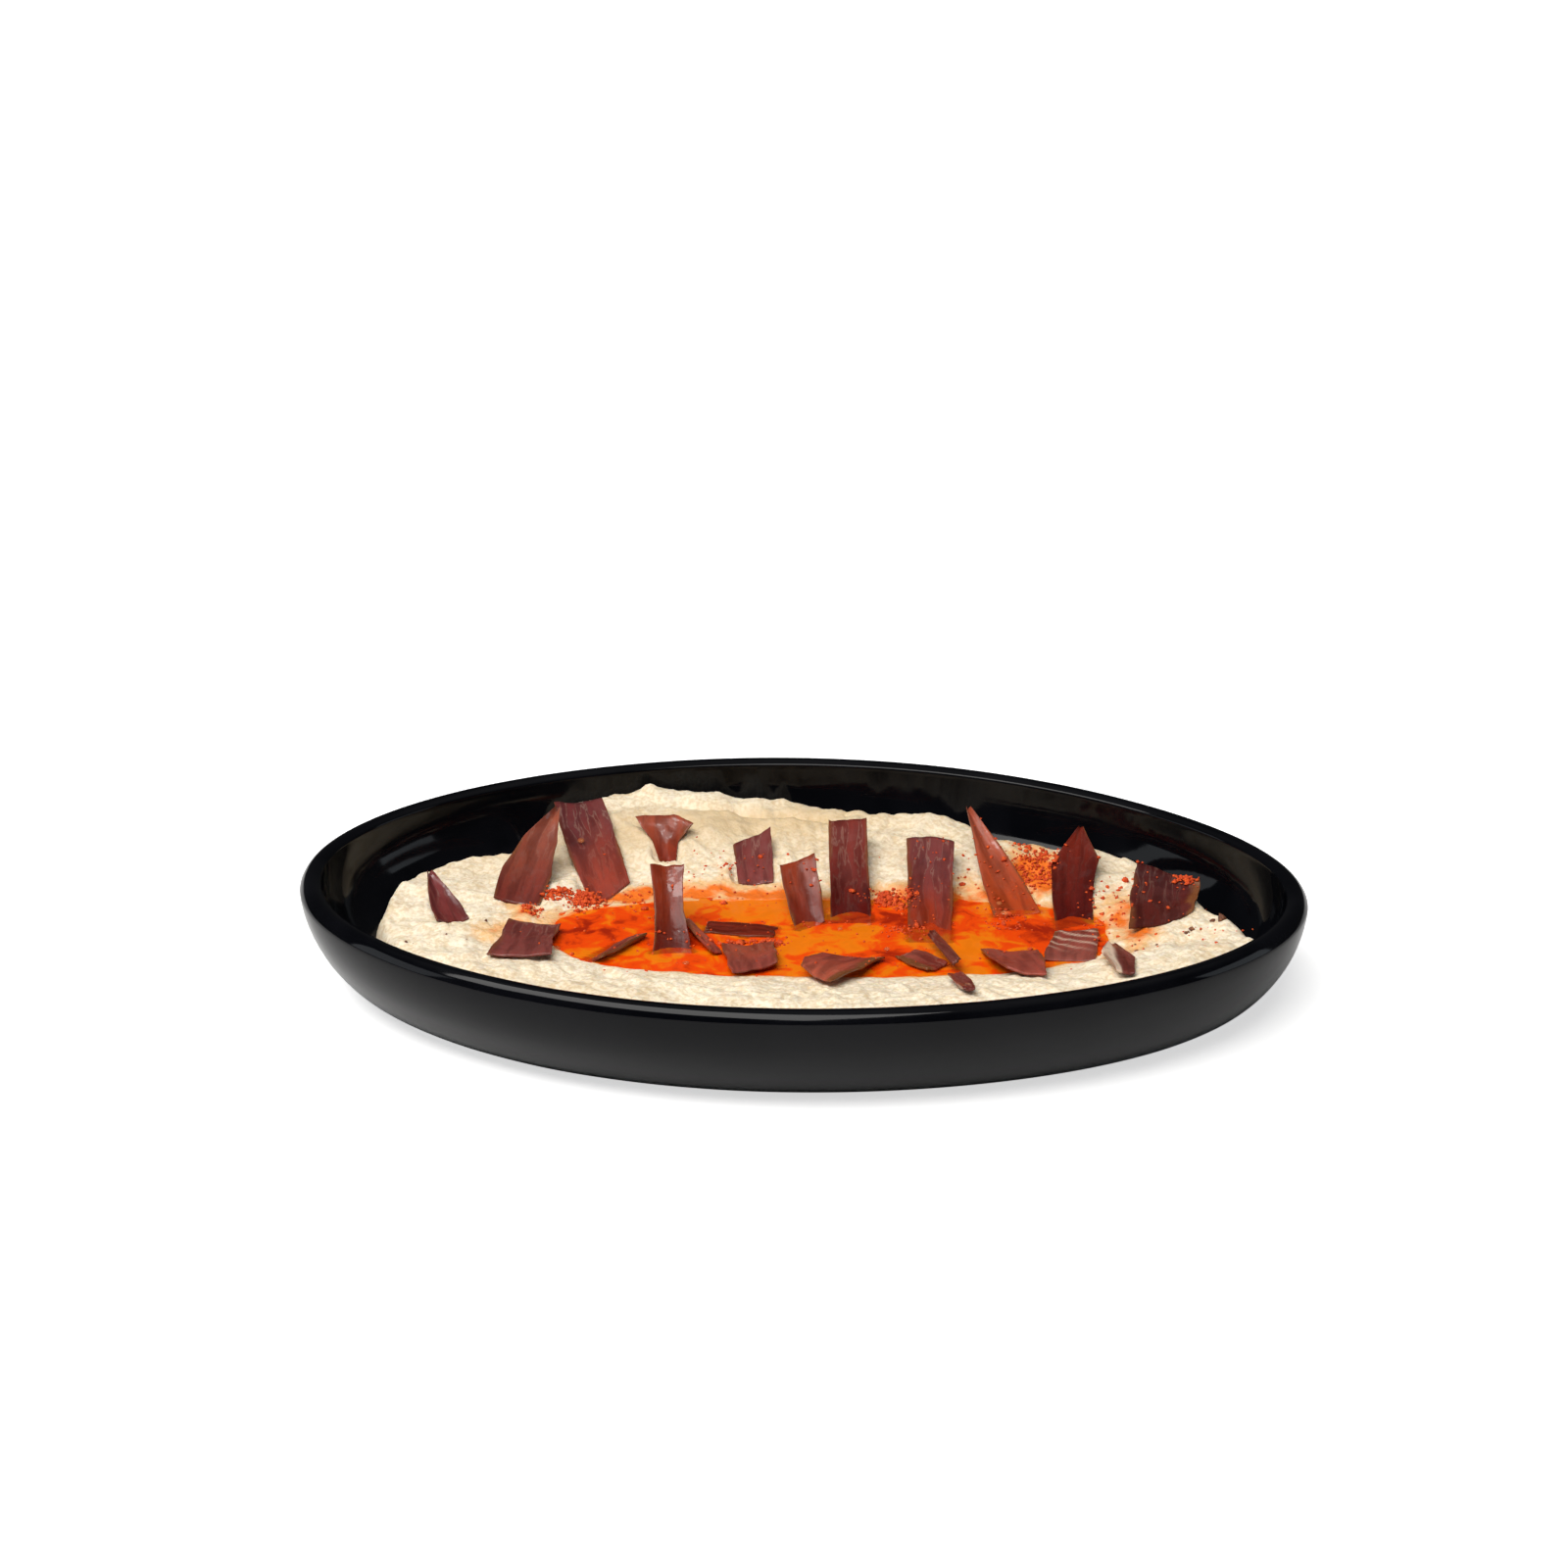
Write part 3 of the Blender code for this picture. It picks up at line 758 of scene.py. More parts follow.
@dataclass(frozen=True)
class DishForm:
    """Sizes of the dish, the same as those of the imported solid."""

    half_length: float = 115.7
    half_depth: float = 77.6
    lobes: tuple = ((2, 0.020, -0.0275), (3, 0.0045, -0.010), (4, 0.006, -0.005))
    height: float = 28.0
    rim_width: float = 5.1
    rim_outer_drop: float = 2.9
    rim_inner_drop: float = 1.3
    rim_crown: float = 1.0
    rim_crown_at: float = 0.33
    outer_inset: float = 19.0
    outer_power: float = 1.68
    inner_inset: float = 22.0
    inner_power: float = 2.2
    floor: float = 5.0

    def outline(self, angles: Array) -> tuple[Array, Array]:
        """The widest contour.

        Args:
            angles: Where on the contour, in radians.

        Returns:
            Its points, and the normals that point inward.
        """

        def curve(a: Array) -> tuple[Array, Array]:
            """The contour about the centre of its formula."""
            swell, turn = np.ones_like(a), np.zeros_like(a)
            for k, c, s in self.lobes:
                swell = swell + c * np.cos(k * a) + s * np.sin(k * a)
                turn = turn + k * (s * np.cos(k * a) - c * np.sin(k * a))
            x, y = self.half_length * swell * np.cos(a), self.half_depth * swell * np.sin(a)
            dx = self.half_length * (turn * np.cos(a) - swell * np.sin(a))
            dy = self.half_depth * (turn * np.sin(a) + swell * np.cos(a))
            size = np.hypot(dx, dy)
            return np.column_stack([x, y]), np.column_stack([-dy / size, dx / size])

        fine = curve(np.linspace(0, 2 * math.pi, OUTLINE_SAMPLES, endpoint=False))[0]
        points, inward = curve(np.asarray(angles, float))
        return points - (fine.min(axis=0) + fine.max(axis=0)) / 2, inward

    def wall(self, top: tuple, drop: float, inset: float, power: float, count: int) -> Array:
        """Profile down a wall that is a quarter superellipse.

        Args:
            top: Inset and height of its top.
            drop: How far it goes down.
            inset: How far it goes in.
            power: Its power.
            count: Number of steps.

        Returns:
            Rows of inset and height, from the top down, the top included.
        """
        t = np.sin(np.linspace(0, math.pi / 2, count + 1))
        out = inset * (1 - (1 - t**power) ** (1 / power))
        return np.column_stack([top[0] + out, top[1] - drop * t])

    def rim(self, count: int) -> Array:
        """Profile of the domed rim, from the outer crease to the inner wall."""
        crease = np.array([0.0, self.height - self.rim_outer_drop])
        crown = np.array([self.rim_crown_at * self.rim_width, self.height + self.rim_crown])
        inner = np.array([self.rim_width, self.height - self.rim_inner_drop])
        t = np.linspace(0, 1, count + 1)[:, None]
        return (1 - t) ** 2 * crease + 2 * t * (1 - t) * crown + t * t * inner

    def outer_wall(self, count: int) -> Array:
        """Profile down the outer wall from the crease."""
        top = (0.0, self.height - self.rim_outer_drop)
        return self.wall(top, top[1], self.outer_inset, self.outer_power, count)

    def inner_wall(self, count: int) -> Array:
        """Profile down the inner wall from the rim."""
        top = (self.rim_width, self.height - self.rim_inner_drop)
        return self.wall(top, top[1] - self.floor, self.inner_inset, self.inner_power, count)

    def inner_height(self, x: Array, y: Array) -> Array:
        """Height of the inside of the dish.

        Args:
            x: Across, in millimetres.
            y: Along, in millimetres.

        Returns:
            The height, and a great one outside the inner wall.
        """
        points = self.outline(np.linspace(0, 2 * math.pi, OUTLINE_SAMPLES, endpoint=False))[0]
        wall = self.inner_wall(40)
        away = np.empty(x.size)
        for start in range(0, x.size, 2000):
            part = slice(start, start + 2000)
            dx = x.ravel()[part, None] - points[None, :, 0]
            dy = y.ravel()[part, None] - points[None, :, 1]
            away[part] = np.sqrt((dx * dx + dy * dy).min(axis=1))
        height = np.interp(away, wall[:, 0], wall[:, 1], left=60.0)
        return height.reshape(x.shape)


@dataclass
class Dish:
    """The glazed dish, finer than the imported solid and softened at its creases."""

    form: DishForm
    segments: int = 540
    crease_radius: float = 0.45
    wobble: float = 0.05
    wobble_size: float = 14.0

    def profile(self) -> Array:
        """Inset and height from the underside, over the rim, down to the floor.

        Returns:
            Rows of inset and height.
        """
        line = np.vstack([self.form.outer_wall(26)[::-1], self.form.rim(22)[1:], self.form.inner_wall(26)[1:]])
        crease = int(np.argmin(np.abs(line[:, 0]) + np.abs(line[:, 1] - self.form.rim(1)[0, 1])))
        inner = int(np.argmin(np.hypot(*(line - self.form.rim(1)[-1]).T)))
        return soften(line, (crease, inner), self.crease_radius)

    def build(self, finish: bpy.types.Material) -> bpy.types.Object:
        """Makes the piece.

        Args:
            finish: Its material.

        Returns:
            The object.
        """
        angles = np.linspace(0, 2 * math.pi, self.segments, endpoint=False)
        outline, inward = self.form.outline(angles)
        noise = Noise(3)
        rings = []
        for inset, height in self.profile():
            flat = outline + inset * inward
            place = flat / self.wobble_size
            uneven = self.wobble * noise.at(place[:, 0], place[:, 1] + height / 9)
            flat = flat + uneven[:, None] * inward
            rings.append(np.column_stack([flat, np.full(self.segments, height)]))
        points = np.vstack(rings + [[[0, 0, 0]], [[0, 0, self.form.floor]]])
        count = len(rings)
        faces = ring_faces(count, self.segments)
        last = count * self.segments
        faces += fan_faces(0, self.segments, last, flip=True)
        faces += fan_faces((count - 1) * self.segments, self.segments, last + 1)
        obj = make_object("dish_glazed", points, faces)
        add_piece(obj, finish, ("dish",))
        return obj


def soften(line: Array, corners: tuple, radius: float) -> Array:
    """Rounds chosen corners of a profile.

    Args:
        line: Rows of inset and height.
        corners: Numbers of the rows that are corners.
        radius: How far from the corner the rounding starts.

    Returns:
        The profile with each corner replaced by a short curve.
    """
    rows = []
    for i, point in enumerate(line):
        if i not in corners:
            if all(np.hypot(*(point - line[c])) > radius for c in corners):
                rows.append(point)
            continue
        before = point + (line[i - 1] - point) / np.hypot(*(line[i - 1] - point)) * radius
        after = point + (line[i + 1] - point) / np.hypot(*(line[i + 1] - point)) * radius
        for t in np.linspace(0, 1, 6):
            rows.append((1 - t) ** 2 * before + 2 * t * (1 - t) * point + t * t * after)
    return np.array(rows)


# ---------------------------------------------------------------- the hummus and the oil


@dataclass(frozen=True)
class Swell:
    """A rise or a dip in a surface: its middle, height, half length, half width and turn."""

    x: float
    y: float
    rise: float
    long: float
    wide: float
    turn: float = 0.0

    def at(self, x: Array, y: Array) -> Array:
        """Its height at points.

        Args:
            x: Across, in millimetres.
            y: Along, in millimetres.

        Returns:
            The heights.
        """
        turn = math.radians(self.turn)
        u = (x - self.x) * math.cos(turn) + (y - self.y) * math.sin(turn)
        v = (y - self.y) * math.cos(turn) - (x - self.x) * math.sin(turn)
        return self.rise * np.exp(-((u / self.long) ** 2) - (v / self.wide) ** 2)


@dataclass(frozen=True)
class HummusForm:
    """Sizes of the hummus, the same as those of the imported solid, and its finer relief."""

    dish: DishForm
    centre: tuple = (7.0, -4.5)
    pool_half_length: float = 65.0
    pool_front: float = 25.5
    pool_back: float = 17.0
    pool_power: float = 2.8
    oil_level: float = 15.0
    well_floor: float = 12.2
    well_edge: float = 14.6
    shore: float = 15.3
    crest_foot: float = 4.0
    skirt_power: float = 2.4
    beach_power: float = 1.1
    least_inset: float = 2.5
    ridge_waver: float = 1.6
    crest_jag: float = 1.0
    crest_waver: float = 0.5
    bank_waver: float = 1.6
    furrow_depth: float = 2.2
    furrow_width: float = 2.2
    furrow_inset: float = 8.0
    furrow_middle: float = 108.0
    furrow_reach: float = 22.0
    broad_relief: float = 0.95
    swept_relief: float = 0.6
    fine_relief: float = 0.42
    relief_bias: float = 0.6
    crest_keys: tuple = (
        (-150, 13.0, 19.5, 14.0), (-120, 12.0, 20.5, 18.0), (-90, 11.0, 21.0, 20.0), (-60, 11.0, 21.0, 20.0),
        (-35, 10.0, 21.3, 16.0), (-11, 7.0, 21.5, 7.0), (3, 17.5, 19.2, 4.5), (26, 11.0, 18.6, 4.5),
        (46, 20.0, 19.8, 7.0), (64, 15.5, 21.0, 7.0), (76, 18.0, 21.0, 7.0), (106, 9.5, 22.0, 6.0),
        (130, 4.0, 22.6, 6.0), (137, 6.5, 21.8, 6.0), (145, 17.0, 17.8, 5.0), (160, 12.0, 16.8, 4.0), (180, 17.0, 17.0, 4.0),
    )
    swells: tuple = (
        Swell(-38.8, 63.5, 1.9, 2.4, 1.6), Swell(33.8, 50.4, 0.7, 6, 3, 20),
        Swell(-84, -7, 0.8, 10, 2.4, -10), Swell(-74, -12, -0.6, 9, 2.6, -25), Swell(-95, -19, 0.5, 8, 4, 60),
        Swell(-38, -48, 0.9, 7, 2.2, 35), Swell(-26, -43, 0.7, 6, 1.8, -5), Swell(-30, -38.5, -0.5, 9, 2, 12),
        Swell(79, -24, 0.9, 6, 2, 38), Swell(92, -29.5, 0.7, 6, 2.2, -12), Swell(98, -25, 0.8, 5, 2, 25),
        Swell(104.5, -22.5, 1.6, 2.6, 2), Swell(92, -17, -1.1, 6, 3.4, 15), Swell(2, -52, 0.7, 12, 3.5, 4),
        Swell(50, -50, 0.6, 10, 3, -8), Swell(-36, -27, 1.5, 12, 3.5, -12), Swell(-64, -33, 0.5, 8, 3, 30), Swell(-12, 44, -0.5, 12, 2.5, 8),
    )

    def pool(self, direction: Array) -> Array:
        """Distance from the centre to the edge of the oil."""
        depth = np.where(np.sin(direction) < 0, self.pool_front, self.pool_back)
        across = np.abs(np.cos(direction)) / self.pool_half_length
        along = np.abs(np.sin(direction)) / depth
        return (across**self.pool_power + along**self.pool_power) ** (-1 / self.pool_power)

    def wall(self, direction: Array) -> Array:
        """Distance from the centre to the top of the inner wall."""
        points, inward = self.dish.outline(np.linspace(0, 2 * math.pi, OUTLINE_SAMPLES, endpoint=False))
        offset = points + self.dish.rim_width * inward - np.array(self.centre)
        bearing = np.arctan2(offset[:, 1], offset[:, 0])
        return np.interp(direction, bearing, np.hypot(offset[:, 0], offset[:, 1]), period=2 * math.pi)

    def crest(self, direction: Array) -> Array:
        """Crest inset, crest height and skirt width, smooth all round.

        Args:
            direction: Directions from the centre, in radians.

        Returns:
            Three rows, in millimetres.
        """
        keys = np.array(self.crest_keys, float)
        before, after = keys[-2:].copy(), keys[:3].copy()
        before[:, 0] -= 360
        after[:, 0] += 360
        keys = np.vstack([before, keys, after])
        first = self.crest_keys[0][0]
        at = (np.degrees(direction) - first) % 360 + first
        i = np.searchsorted(keys[:, 0], at, side="right") - 1
        span = (keys[i + 1, 0] - keys[i, 0])[..., None]
        t = (at - keys[i, 0])[..., None] / span
        slope = np.gradient(keys[:, 1:], keys[:, 0], axis=0)
        curve = (1 + 2 * t) * (1 - t) ** 2 * keys[i, 1:] + t * (1 - t) ** 2 * span * slope[i]
        curve = curve + t * t * (3 - 2 * t) * keys[i + 1, 1:] + t * t * (t - 1) * span * slope[i + 1]
        return np.moveaxis(curve, -1, 0)

    def surface(self, x: Array, y: Array) -> Array:
        """Height of the top of the hummus with its relief.

        Args:
            x: Across, in millimetres.
            y: Along, in millimetres.

        Returns:
            The heights.
        """
        dx, dy = x - self.centre[0], y - self.centre[1]
        direction, distance = np.arctan2(dy, dx), np.hypot(dx, dy)
        pool, wall = self.pool(direction), self.wall(direction)
        inset, crest, skirt = self.crest(direction)
        ragged = Noise(11).layered(7 * np.cos(direction), 7 * np.sin(direction), 4, 0.6)
        jagged = Noise(12).layered(15 * np.cos(direction), 15 * np.sin(direction), 3, 0.6)
        ridge = wall - np.maximum(inset + self.ridge_waver * ragged, self.least_inset)
        crest = crest + self.crest_jag * jagged + self.crest_waver * ragged
        bank = self.bank_waver * Noise(13).layered(x / 9, y / 9, 3)
        edge = pool + bank
        well = np.clip(distance / edge, 0, 1)
        floor = self.well_floor + (self.well_edge - self.well_floor) * np.clip((well - 0.8) / 0.2, 0, 1) ** 2
        shore = self.well_edge + (self.shore - self.well_edge) * np.clip(distance - edge, 0, 1)
        climb = np.clip((distance - edge - 1) / (ridge - edge - 1), 0, 1)
        beach = self.shore + (crest - self.shore) * np.sin(climb * math.pi / 2) ** self.beach_power
        fall = np.clip((distance - ridge) / skirt, 0, 1)
        side = (crest - self.crest_foot) * (1 - (1 - fall**self.skirt_power) ** (1 / self.skirt_power))
        turned = (np.degrees(direction) - self.furrow_middle) / self.furrow_reach
        offset = (distance - ridge + self.furrow_inset + 2 * ragged) / self.furrow_width
        furrow = self.furrow_depth * np.exp(-(turned**2)) * np.exp(-(offset**2))
        height = np.where(distance <= edge, floor, np.where(climb <= 0, shore, beach)) - side - furrow
        dry = smoothstep(0, 9, distance - edge)
        relief = self.broad_relief * Noise(14).layered(x / 12, y / 9, 2)
        along = direction * 60 + 0.2 * distance
        relief += self.swept_relief * Noise(15).layered(along / 15, distance / 3.2, 2)
        relief += self.fine_relief * Noise(16).layered(x / 2.6, y / 2.6, 3, 0.6) * (0.35 + 0.65 * dry)
        for swell in self.swells:
            relief += swell.at(x, y)
        return height + (relief - self.relief_bias) * (0.25 + 0.75 * dry)


@dataclass
class Hummus:
    """The swept mound of hummus that fills the dish, pressed down under the shavings."""

    form: HummusForm
    shavings: tuple
    lip: float = 0.9
    lip_slope: float = 1.4
    deepest: float = 3.6
    tuck: float = 0.6
    under_oil: float = 4.0
    foot_share: float = 0.6
    reach_back: float = 5.5
    reach_front: float = 1.6
    sheen_reach: float = 9.0
    directions: int = 620
    wet_rings: int = 12
    dry_rings: int = 96
    stains: tuple = (
        Swell(-67, 5, 0.9, 5, 9, 10), Swell(57, 30, 1.0, 7, 13), Swell(57, 21, 1.1, 9, 8),
        Swell(-15, 16, 1.15, 26, 4.5), Swell(38, 17, 0.7, 14, 7), Swell(77, 2, 1.0, 6, 13),
        Swell(-45, 13, 0.8, 10, 5), Swell(20, 15, 0.8, 8, 5), Swell(72, -24, 0.5, 8, 5),
        Swell(-14, 24, 0.35, 9, 9), Swell(2, 12, 0.7, 10, 4), Swell(95, -14, 0.25, 10, 8),
        Swell(-72, -8, 0.75, 6, 7, 60), Swell(-34, 17, 0.7, 7, 6), Swell(80, -12, 0.8, 4, 10, -20), Swell(36, 12, 0.8, 12, 6),
    )
    # Painted shade: patches that darken the back beach, the crest and its furrow.
    painted_shades: tuple = (
        Swell(-12, 40, 0.5, 45, 14), Swell(62, 30, 0.3, 30, 16), Swell(-12, 50, 1.0, 38, 8, 8),
        Swell(-60, 38, 0.4, 20, 14),
    )

    def boundary(self, direction: Array) -> Array:
        """Distance at which the hummus meets the inside of the dish, in each direction."""
        share = np.linspace(0, 1, 90)[:, None]
        wall = self.form.wall(direction)
        distance = wall - 30 + 31 * share
        x = self.form.centre[0] + distance * np.cos(direction)
        y = self.form.centre[1] + distance * np.sin(direction)
        above = self.form.surface(x, y) > self.form.dish.inner_height(x, y)
        first = np.argmax(~above, axis=0)
        return np.take_along_axis(distance, first[None, :], axis=0)[0] + 0.3

    def press(self, x: Array, y: Array, z: Array) -> Array:
        """Lowers the hummus where a shaving lies in it.

        Args:
            x: Across, in millimetres.
            y: Along, in millimetres.
            z: Heights before.

        Returns:
            Heights after.
        """
        for piece in self.shavings:
            under = piece.placed()[1].reshape(-1, 3)
            low, high = under.min(axis=0) - 2, under.max(axis=0) + 2
            near = np.flatnonzero(((x > low[0]) & (x < high[0]) & (y > low[1]) & (y < high[1])).ravel())
            if not near.size:
                continue
            dx = x.ravel()[near, None] - under[None, :, 0]
            dy = y.ravel()[near, None] - under[None, :, 1]
            squared = dx * dx + dy * dy
            closest = squared.argmin(axis=1)
            away = np.sqrt(squared[np.arange(near.size), closest])
            limit = under[closest, 2] - 0.1 + self.lip_slope * np.maximum(away - self.lip, 0)
            before = z.ravel()[near]
            limit = np.maximum(limit, np.maximum(before - self.deepest, self.form.well_floor))
            z.ravel()[near] = np.minimum(before, limit)
        return z

    def build(self, finish: bpy.types.Material) -> bpy.types.Object:
        """Makes the piece.

        Args:
            finish: Its material.

        Returns:
            The object.
        """
        turn = np.linspace(-math.pi, math.pi, 4000, endpoint=False)
        radius = 0.5 * self.form.wall(turn)
        length = np.cumsum(np.hypot(radius, np.gradient(radius, turn)))
        direction = np.interp(np.linspace(0, length[-1], self.directions, endpoint=False), length, turn)
        edge = self.form.pool(direction) - self.under_oil
        outer = self.boundary(direction)
        shares = np.concatenate([np.linspace(0.08, 1, self.wet_rings), 1 + np.linspace(0, 1, self.dry_rings + 1)[1:]])
        rings = [np.where(s <= 1, edge * s, edge + (outer - edge) * (s - 1)) for s in shares]
        distance = np.array(rings)
        x = self.form.centre[0] + distance * np.cos(direction)
        y = self.form.centre[1] + distance * np.sin(direction)
        z = self.press(x, y, self.form.surface(x, y))
        wall = self.form.dish.inner_height(x[-1], y[-1]) - self.tuck
        z[-1] = np.maximum(z[-1], np.minimum(wall, z[-2]))
        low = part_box("hummus")[0].z / MM
        under = np.column_stack([self.foot_share * x[-1], self.foot_share * y[-1], np.full(self.directions, low)])
        top = np.stack([x, y, z], axis=-1).reshape(-1, 3)
        middle_top = self.form.surface(np.array([self.form.centre[0]]), np.array([self.form.centre[1]]))[0]
        points = np.vstack([top, under, [[*self.form.centre, middle_top]], [[*self.form.centre, low]]])
        count = len(shares) + 1
        faces = ring_faces(count, self.directions)
        faces = [face[::-1] for face in faces]
        last = count * self.directions
        faces += fan_faces(0, self.directions, last)
        faces += fan_faces((count - 1) * self.directions, self.directions, last + 1, flip=True)
        obj = make_object("hummus_swept", points, faces)
        self.paint(obj, points)
        add_piece(obj, finish, ("hummus",))
        return obj

    def paint(self, obj: bpy.types.Object, points: Array) -> None:
        """Marks where oil has stained and wetted the hummus, and where painted shade darkens the back and the crest.

        Args:
            obj: The object.
            points: Its points in millimetres.
        """
        x, y = points[:, 0], points[:, 1]
        dx, dy = x - self.form.centre[0], y - self.form.centre[1]
        beyond = np.hypot(dx, dy) - self.form.pool(np.arctan2(dy, dx))
        reach = np.where(dy > 0, self.reach_back, self.reach_front) * (1 + 0.6 * Noise(23).layered(x / 9, y / 9, 3))
        near = 0.95 * np.exp(-np.maximum(beyond, 0) / reach)
        blobs = sum(stain.at(x, y) for stain in self.stains)
        patchy = 0.75 + 0.4 * Noise(21).layered(x / 5, y / 5, 3)
        stain = np.clip(np.maximum(near, blobs * patchy), 0, 1.2)
        set_layer(obj, Layer.STAIN, stain)
        # Painted shade, darker at the back beach, the crest and its furrow.
        shade = sum(shade_patch.at(x, y) for shade_patch in self.painted_shades)
        set_layer(obj, Layer.PAINTED_SHADE, np.clip(shade * (1 + 0.3 * Noise(24).layered(x / 8, y / 8, 3)), 0, 1))
        sheen = np.exp(-np.maximum(beyond, 0) / self.sheen_reach) * (0.6 + 0.5 * Noise(22).layered(x / 7, y / 7, 3))
        set_layer(obj, Layer.WET, np.clip(sheen, 0, 1))


@dataclass
class Oil:
    """The pool of paprika oil, thin over the feet of the shavings."""

    form: HummusForm
    shavings: tuple
    directions: int = 400
    rings: int = 64
    overlap: float = 4.0
    tucked: float = 0.7
    swell: float = 0.06
    murk: float = 0.30
    depths: tuple = (
        Swell(-50, -6, 0.6, 12, 8), Swell(20, 3, 0.5, 9, 5), Swell(14, -22, 0.35, 7, 4), Swell(56, -4, 0.55, 14, 7),
        Swell(22, -17, 0.5, 5, 4), Swell(40, -15, -0.4, 9, 7), Swell(7, -13, -0.35, 12, 6), Swell(-22, -12, 0.45, 12, 6),
        Swell(-14, 6, -0.3, 20, 4), Swell(30, -2, 0.5, 7, 5), Swell(-8, 12, -0.5, 22, 3), Swell(66, -10, 0.3, 8, 8),
    )

    def build(self, finish: bpy.types.Material) -> bpy.types.Object:
        """Makes the piece.

        Args:
            finish: Its material.

        Returns:
            The object.
        """
        direction = np.linspace(-math.pi, math.pi, self.directions, endpoint=False)
        edge = self.form.pool(direction) + self.overlap
        shares = np.linspace(0.03, 1, self.rings)[:, None]
        x = self.form.centre[0] + edge * shares * np.cos(direction)
        y = self.form.centre[1] + edge * shares * np.sin(direction)
        z = self.form.oil_level + self.swell * Noise(31).layered(x / 9, y / 9, 2)
        top = np.stack([x, y, z], axis=-1).reshape(-1, 3)
        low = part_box("oil")[0].z / MM - self.tucked
        foot = np.column_stack([x[-1], y[-1], np.full(self.directions, low)])
        points = np.vstack([top, foot, [[*self.form.centre, self.form.oil_level]], [[*self.form.centre, low]]])
        count = self.rings + 1
        faces = [face[::-1] for face in ring_faces(count, self.directions)]
        last = count * self.directions
        faces += fan_faces(0, self.directions, last)
        faces += fan_faces((count - 1) * self.directions, self.directions, last + 1, flip=True)
        obj = make_object("oil_pool", points, faces)
        deep = sum(depth.at(points[:, 0], points[:, 1]) for depth in self.depths)
        set_layer(obj, Layer.DEEP, np.clip(self.murk + deep, -0.5, 1.2))
        set_layer(obj, Layer.CLEAR, self.clearness(points))
        add_piece(obj, finish, ("oil",))
        return obj

    def clearness(self, points: Array) -> Array:
        """How much shows through the oil: 1 over a shaving just under its surface.

        Args:
            points: Points of the oil in millimetres.

        Returns:
            One number per point.
        """
        clear = np.zeros(len(points))
        for piece in self.shavings:
            upper = piece.placed()[0].reshape(-1, 3)
            upper = upper[upper[:, 2] < self.form.oil_level + 0.2]
            if not len(upper):
                continue
            low, high = upper.min(axis=0) - 2, upper.max(axis=0) + 2
            near = np.flatnonzero(((points > low) & (points < high))[:, :2].all(axis=1))
            gap = points[near, None, :2] - upper[None, :, :2]
            away = np.sqrt((gap * gap).sum(axis=-1).min(axis=1))
            clear[near] = np.maximum(clear[near], 1 - smoothstep(0.5, 1.4, away))
        return clear


# ---------------------------------------------------------------- the shavings


@dataclass(frozen=True)
class Look:
    """Colours of one shaving at its tip and foot, its dry bloom that is partly a painted sheen, and its fat and crust.

    fat is a share of the width, from the left edge when negative, else from the right; crust is a share of the width
    from the right edge.
    """

    tip: Colour
    foot: Colour
    haze: float = 0.4
    fat: float = 0.0
    crust: float = 0.0
    stripes: bool = False


@dataclass(frozen=True)
class Shaving:
    """One shaving, in millimetres and degrees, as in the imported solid.

    foot is the middle of the end set in the food, heading the way it runs in plan, lean its climb
    half way along. widths are evenly spaced from foot to tip.
    """

    number: int
    foot: tuple
    heading: float
    lean: float
    length: float
    widths: tuple
    look: Look
    bend: float = 0.0
    sweep: float = 0.0
    roll: float = 0.0
    twist: float = 0.0
    cup: float = 0.0
    foot_cut: float = 0.0
    tip_cut: float = 0.0
    tip_round: float = 0.0


def srgb(red: int, green: int, blue: int, gain: float = 1.0) -> Colour:
    """A linear colour from display values of 0 to 255, times a gain."""
    linear = [((c / 255 + 0.055) / 1.055) ** 2.4 if c > 10 else c / 3294 for c in (red, green, blue)]
    return tuple(min(gain * c, 0.95) for c in linear)


def meat(tip: tuple, foot: tuple, haze: float = 0.4, fat: float = 0.0, crust: float = 0.0, stripes: bool = False) -> Look:
    """The look of a shaving from the display colours of its two ends."""
    return Look(srgb(*tip), srgb(*foot), haze, fat, crust, stripes)


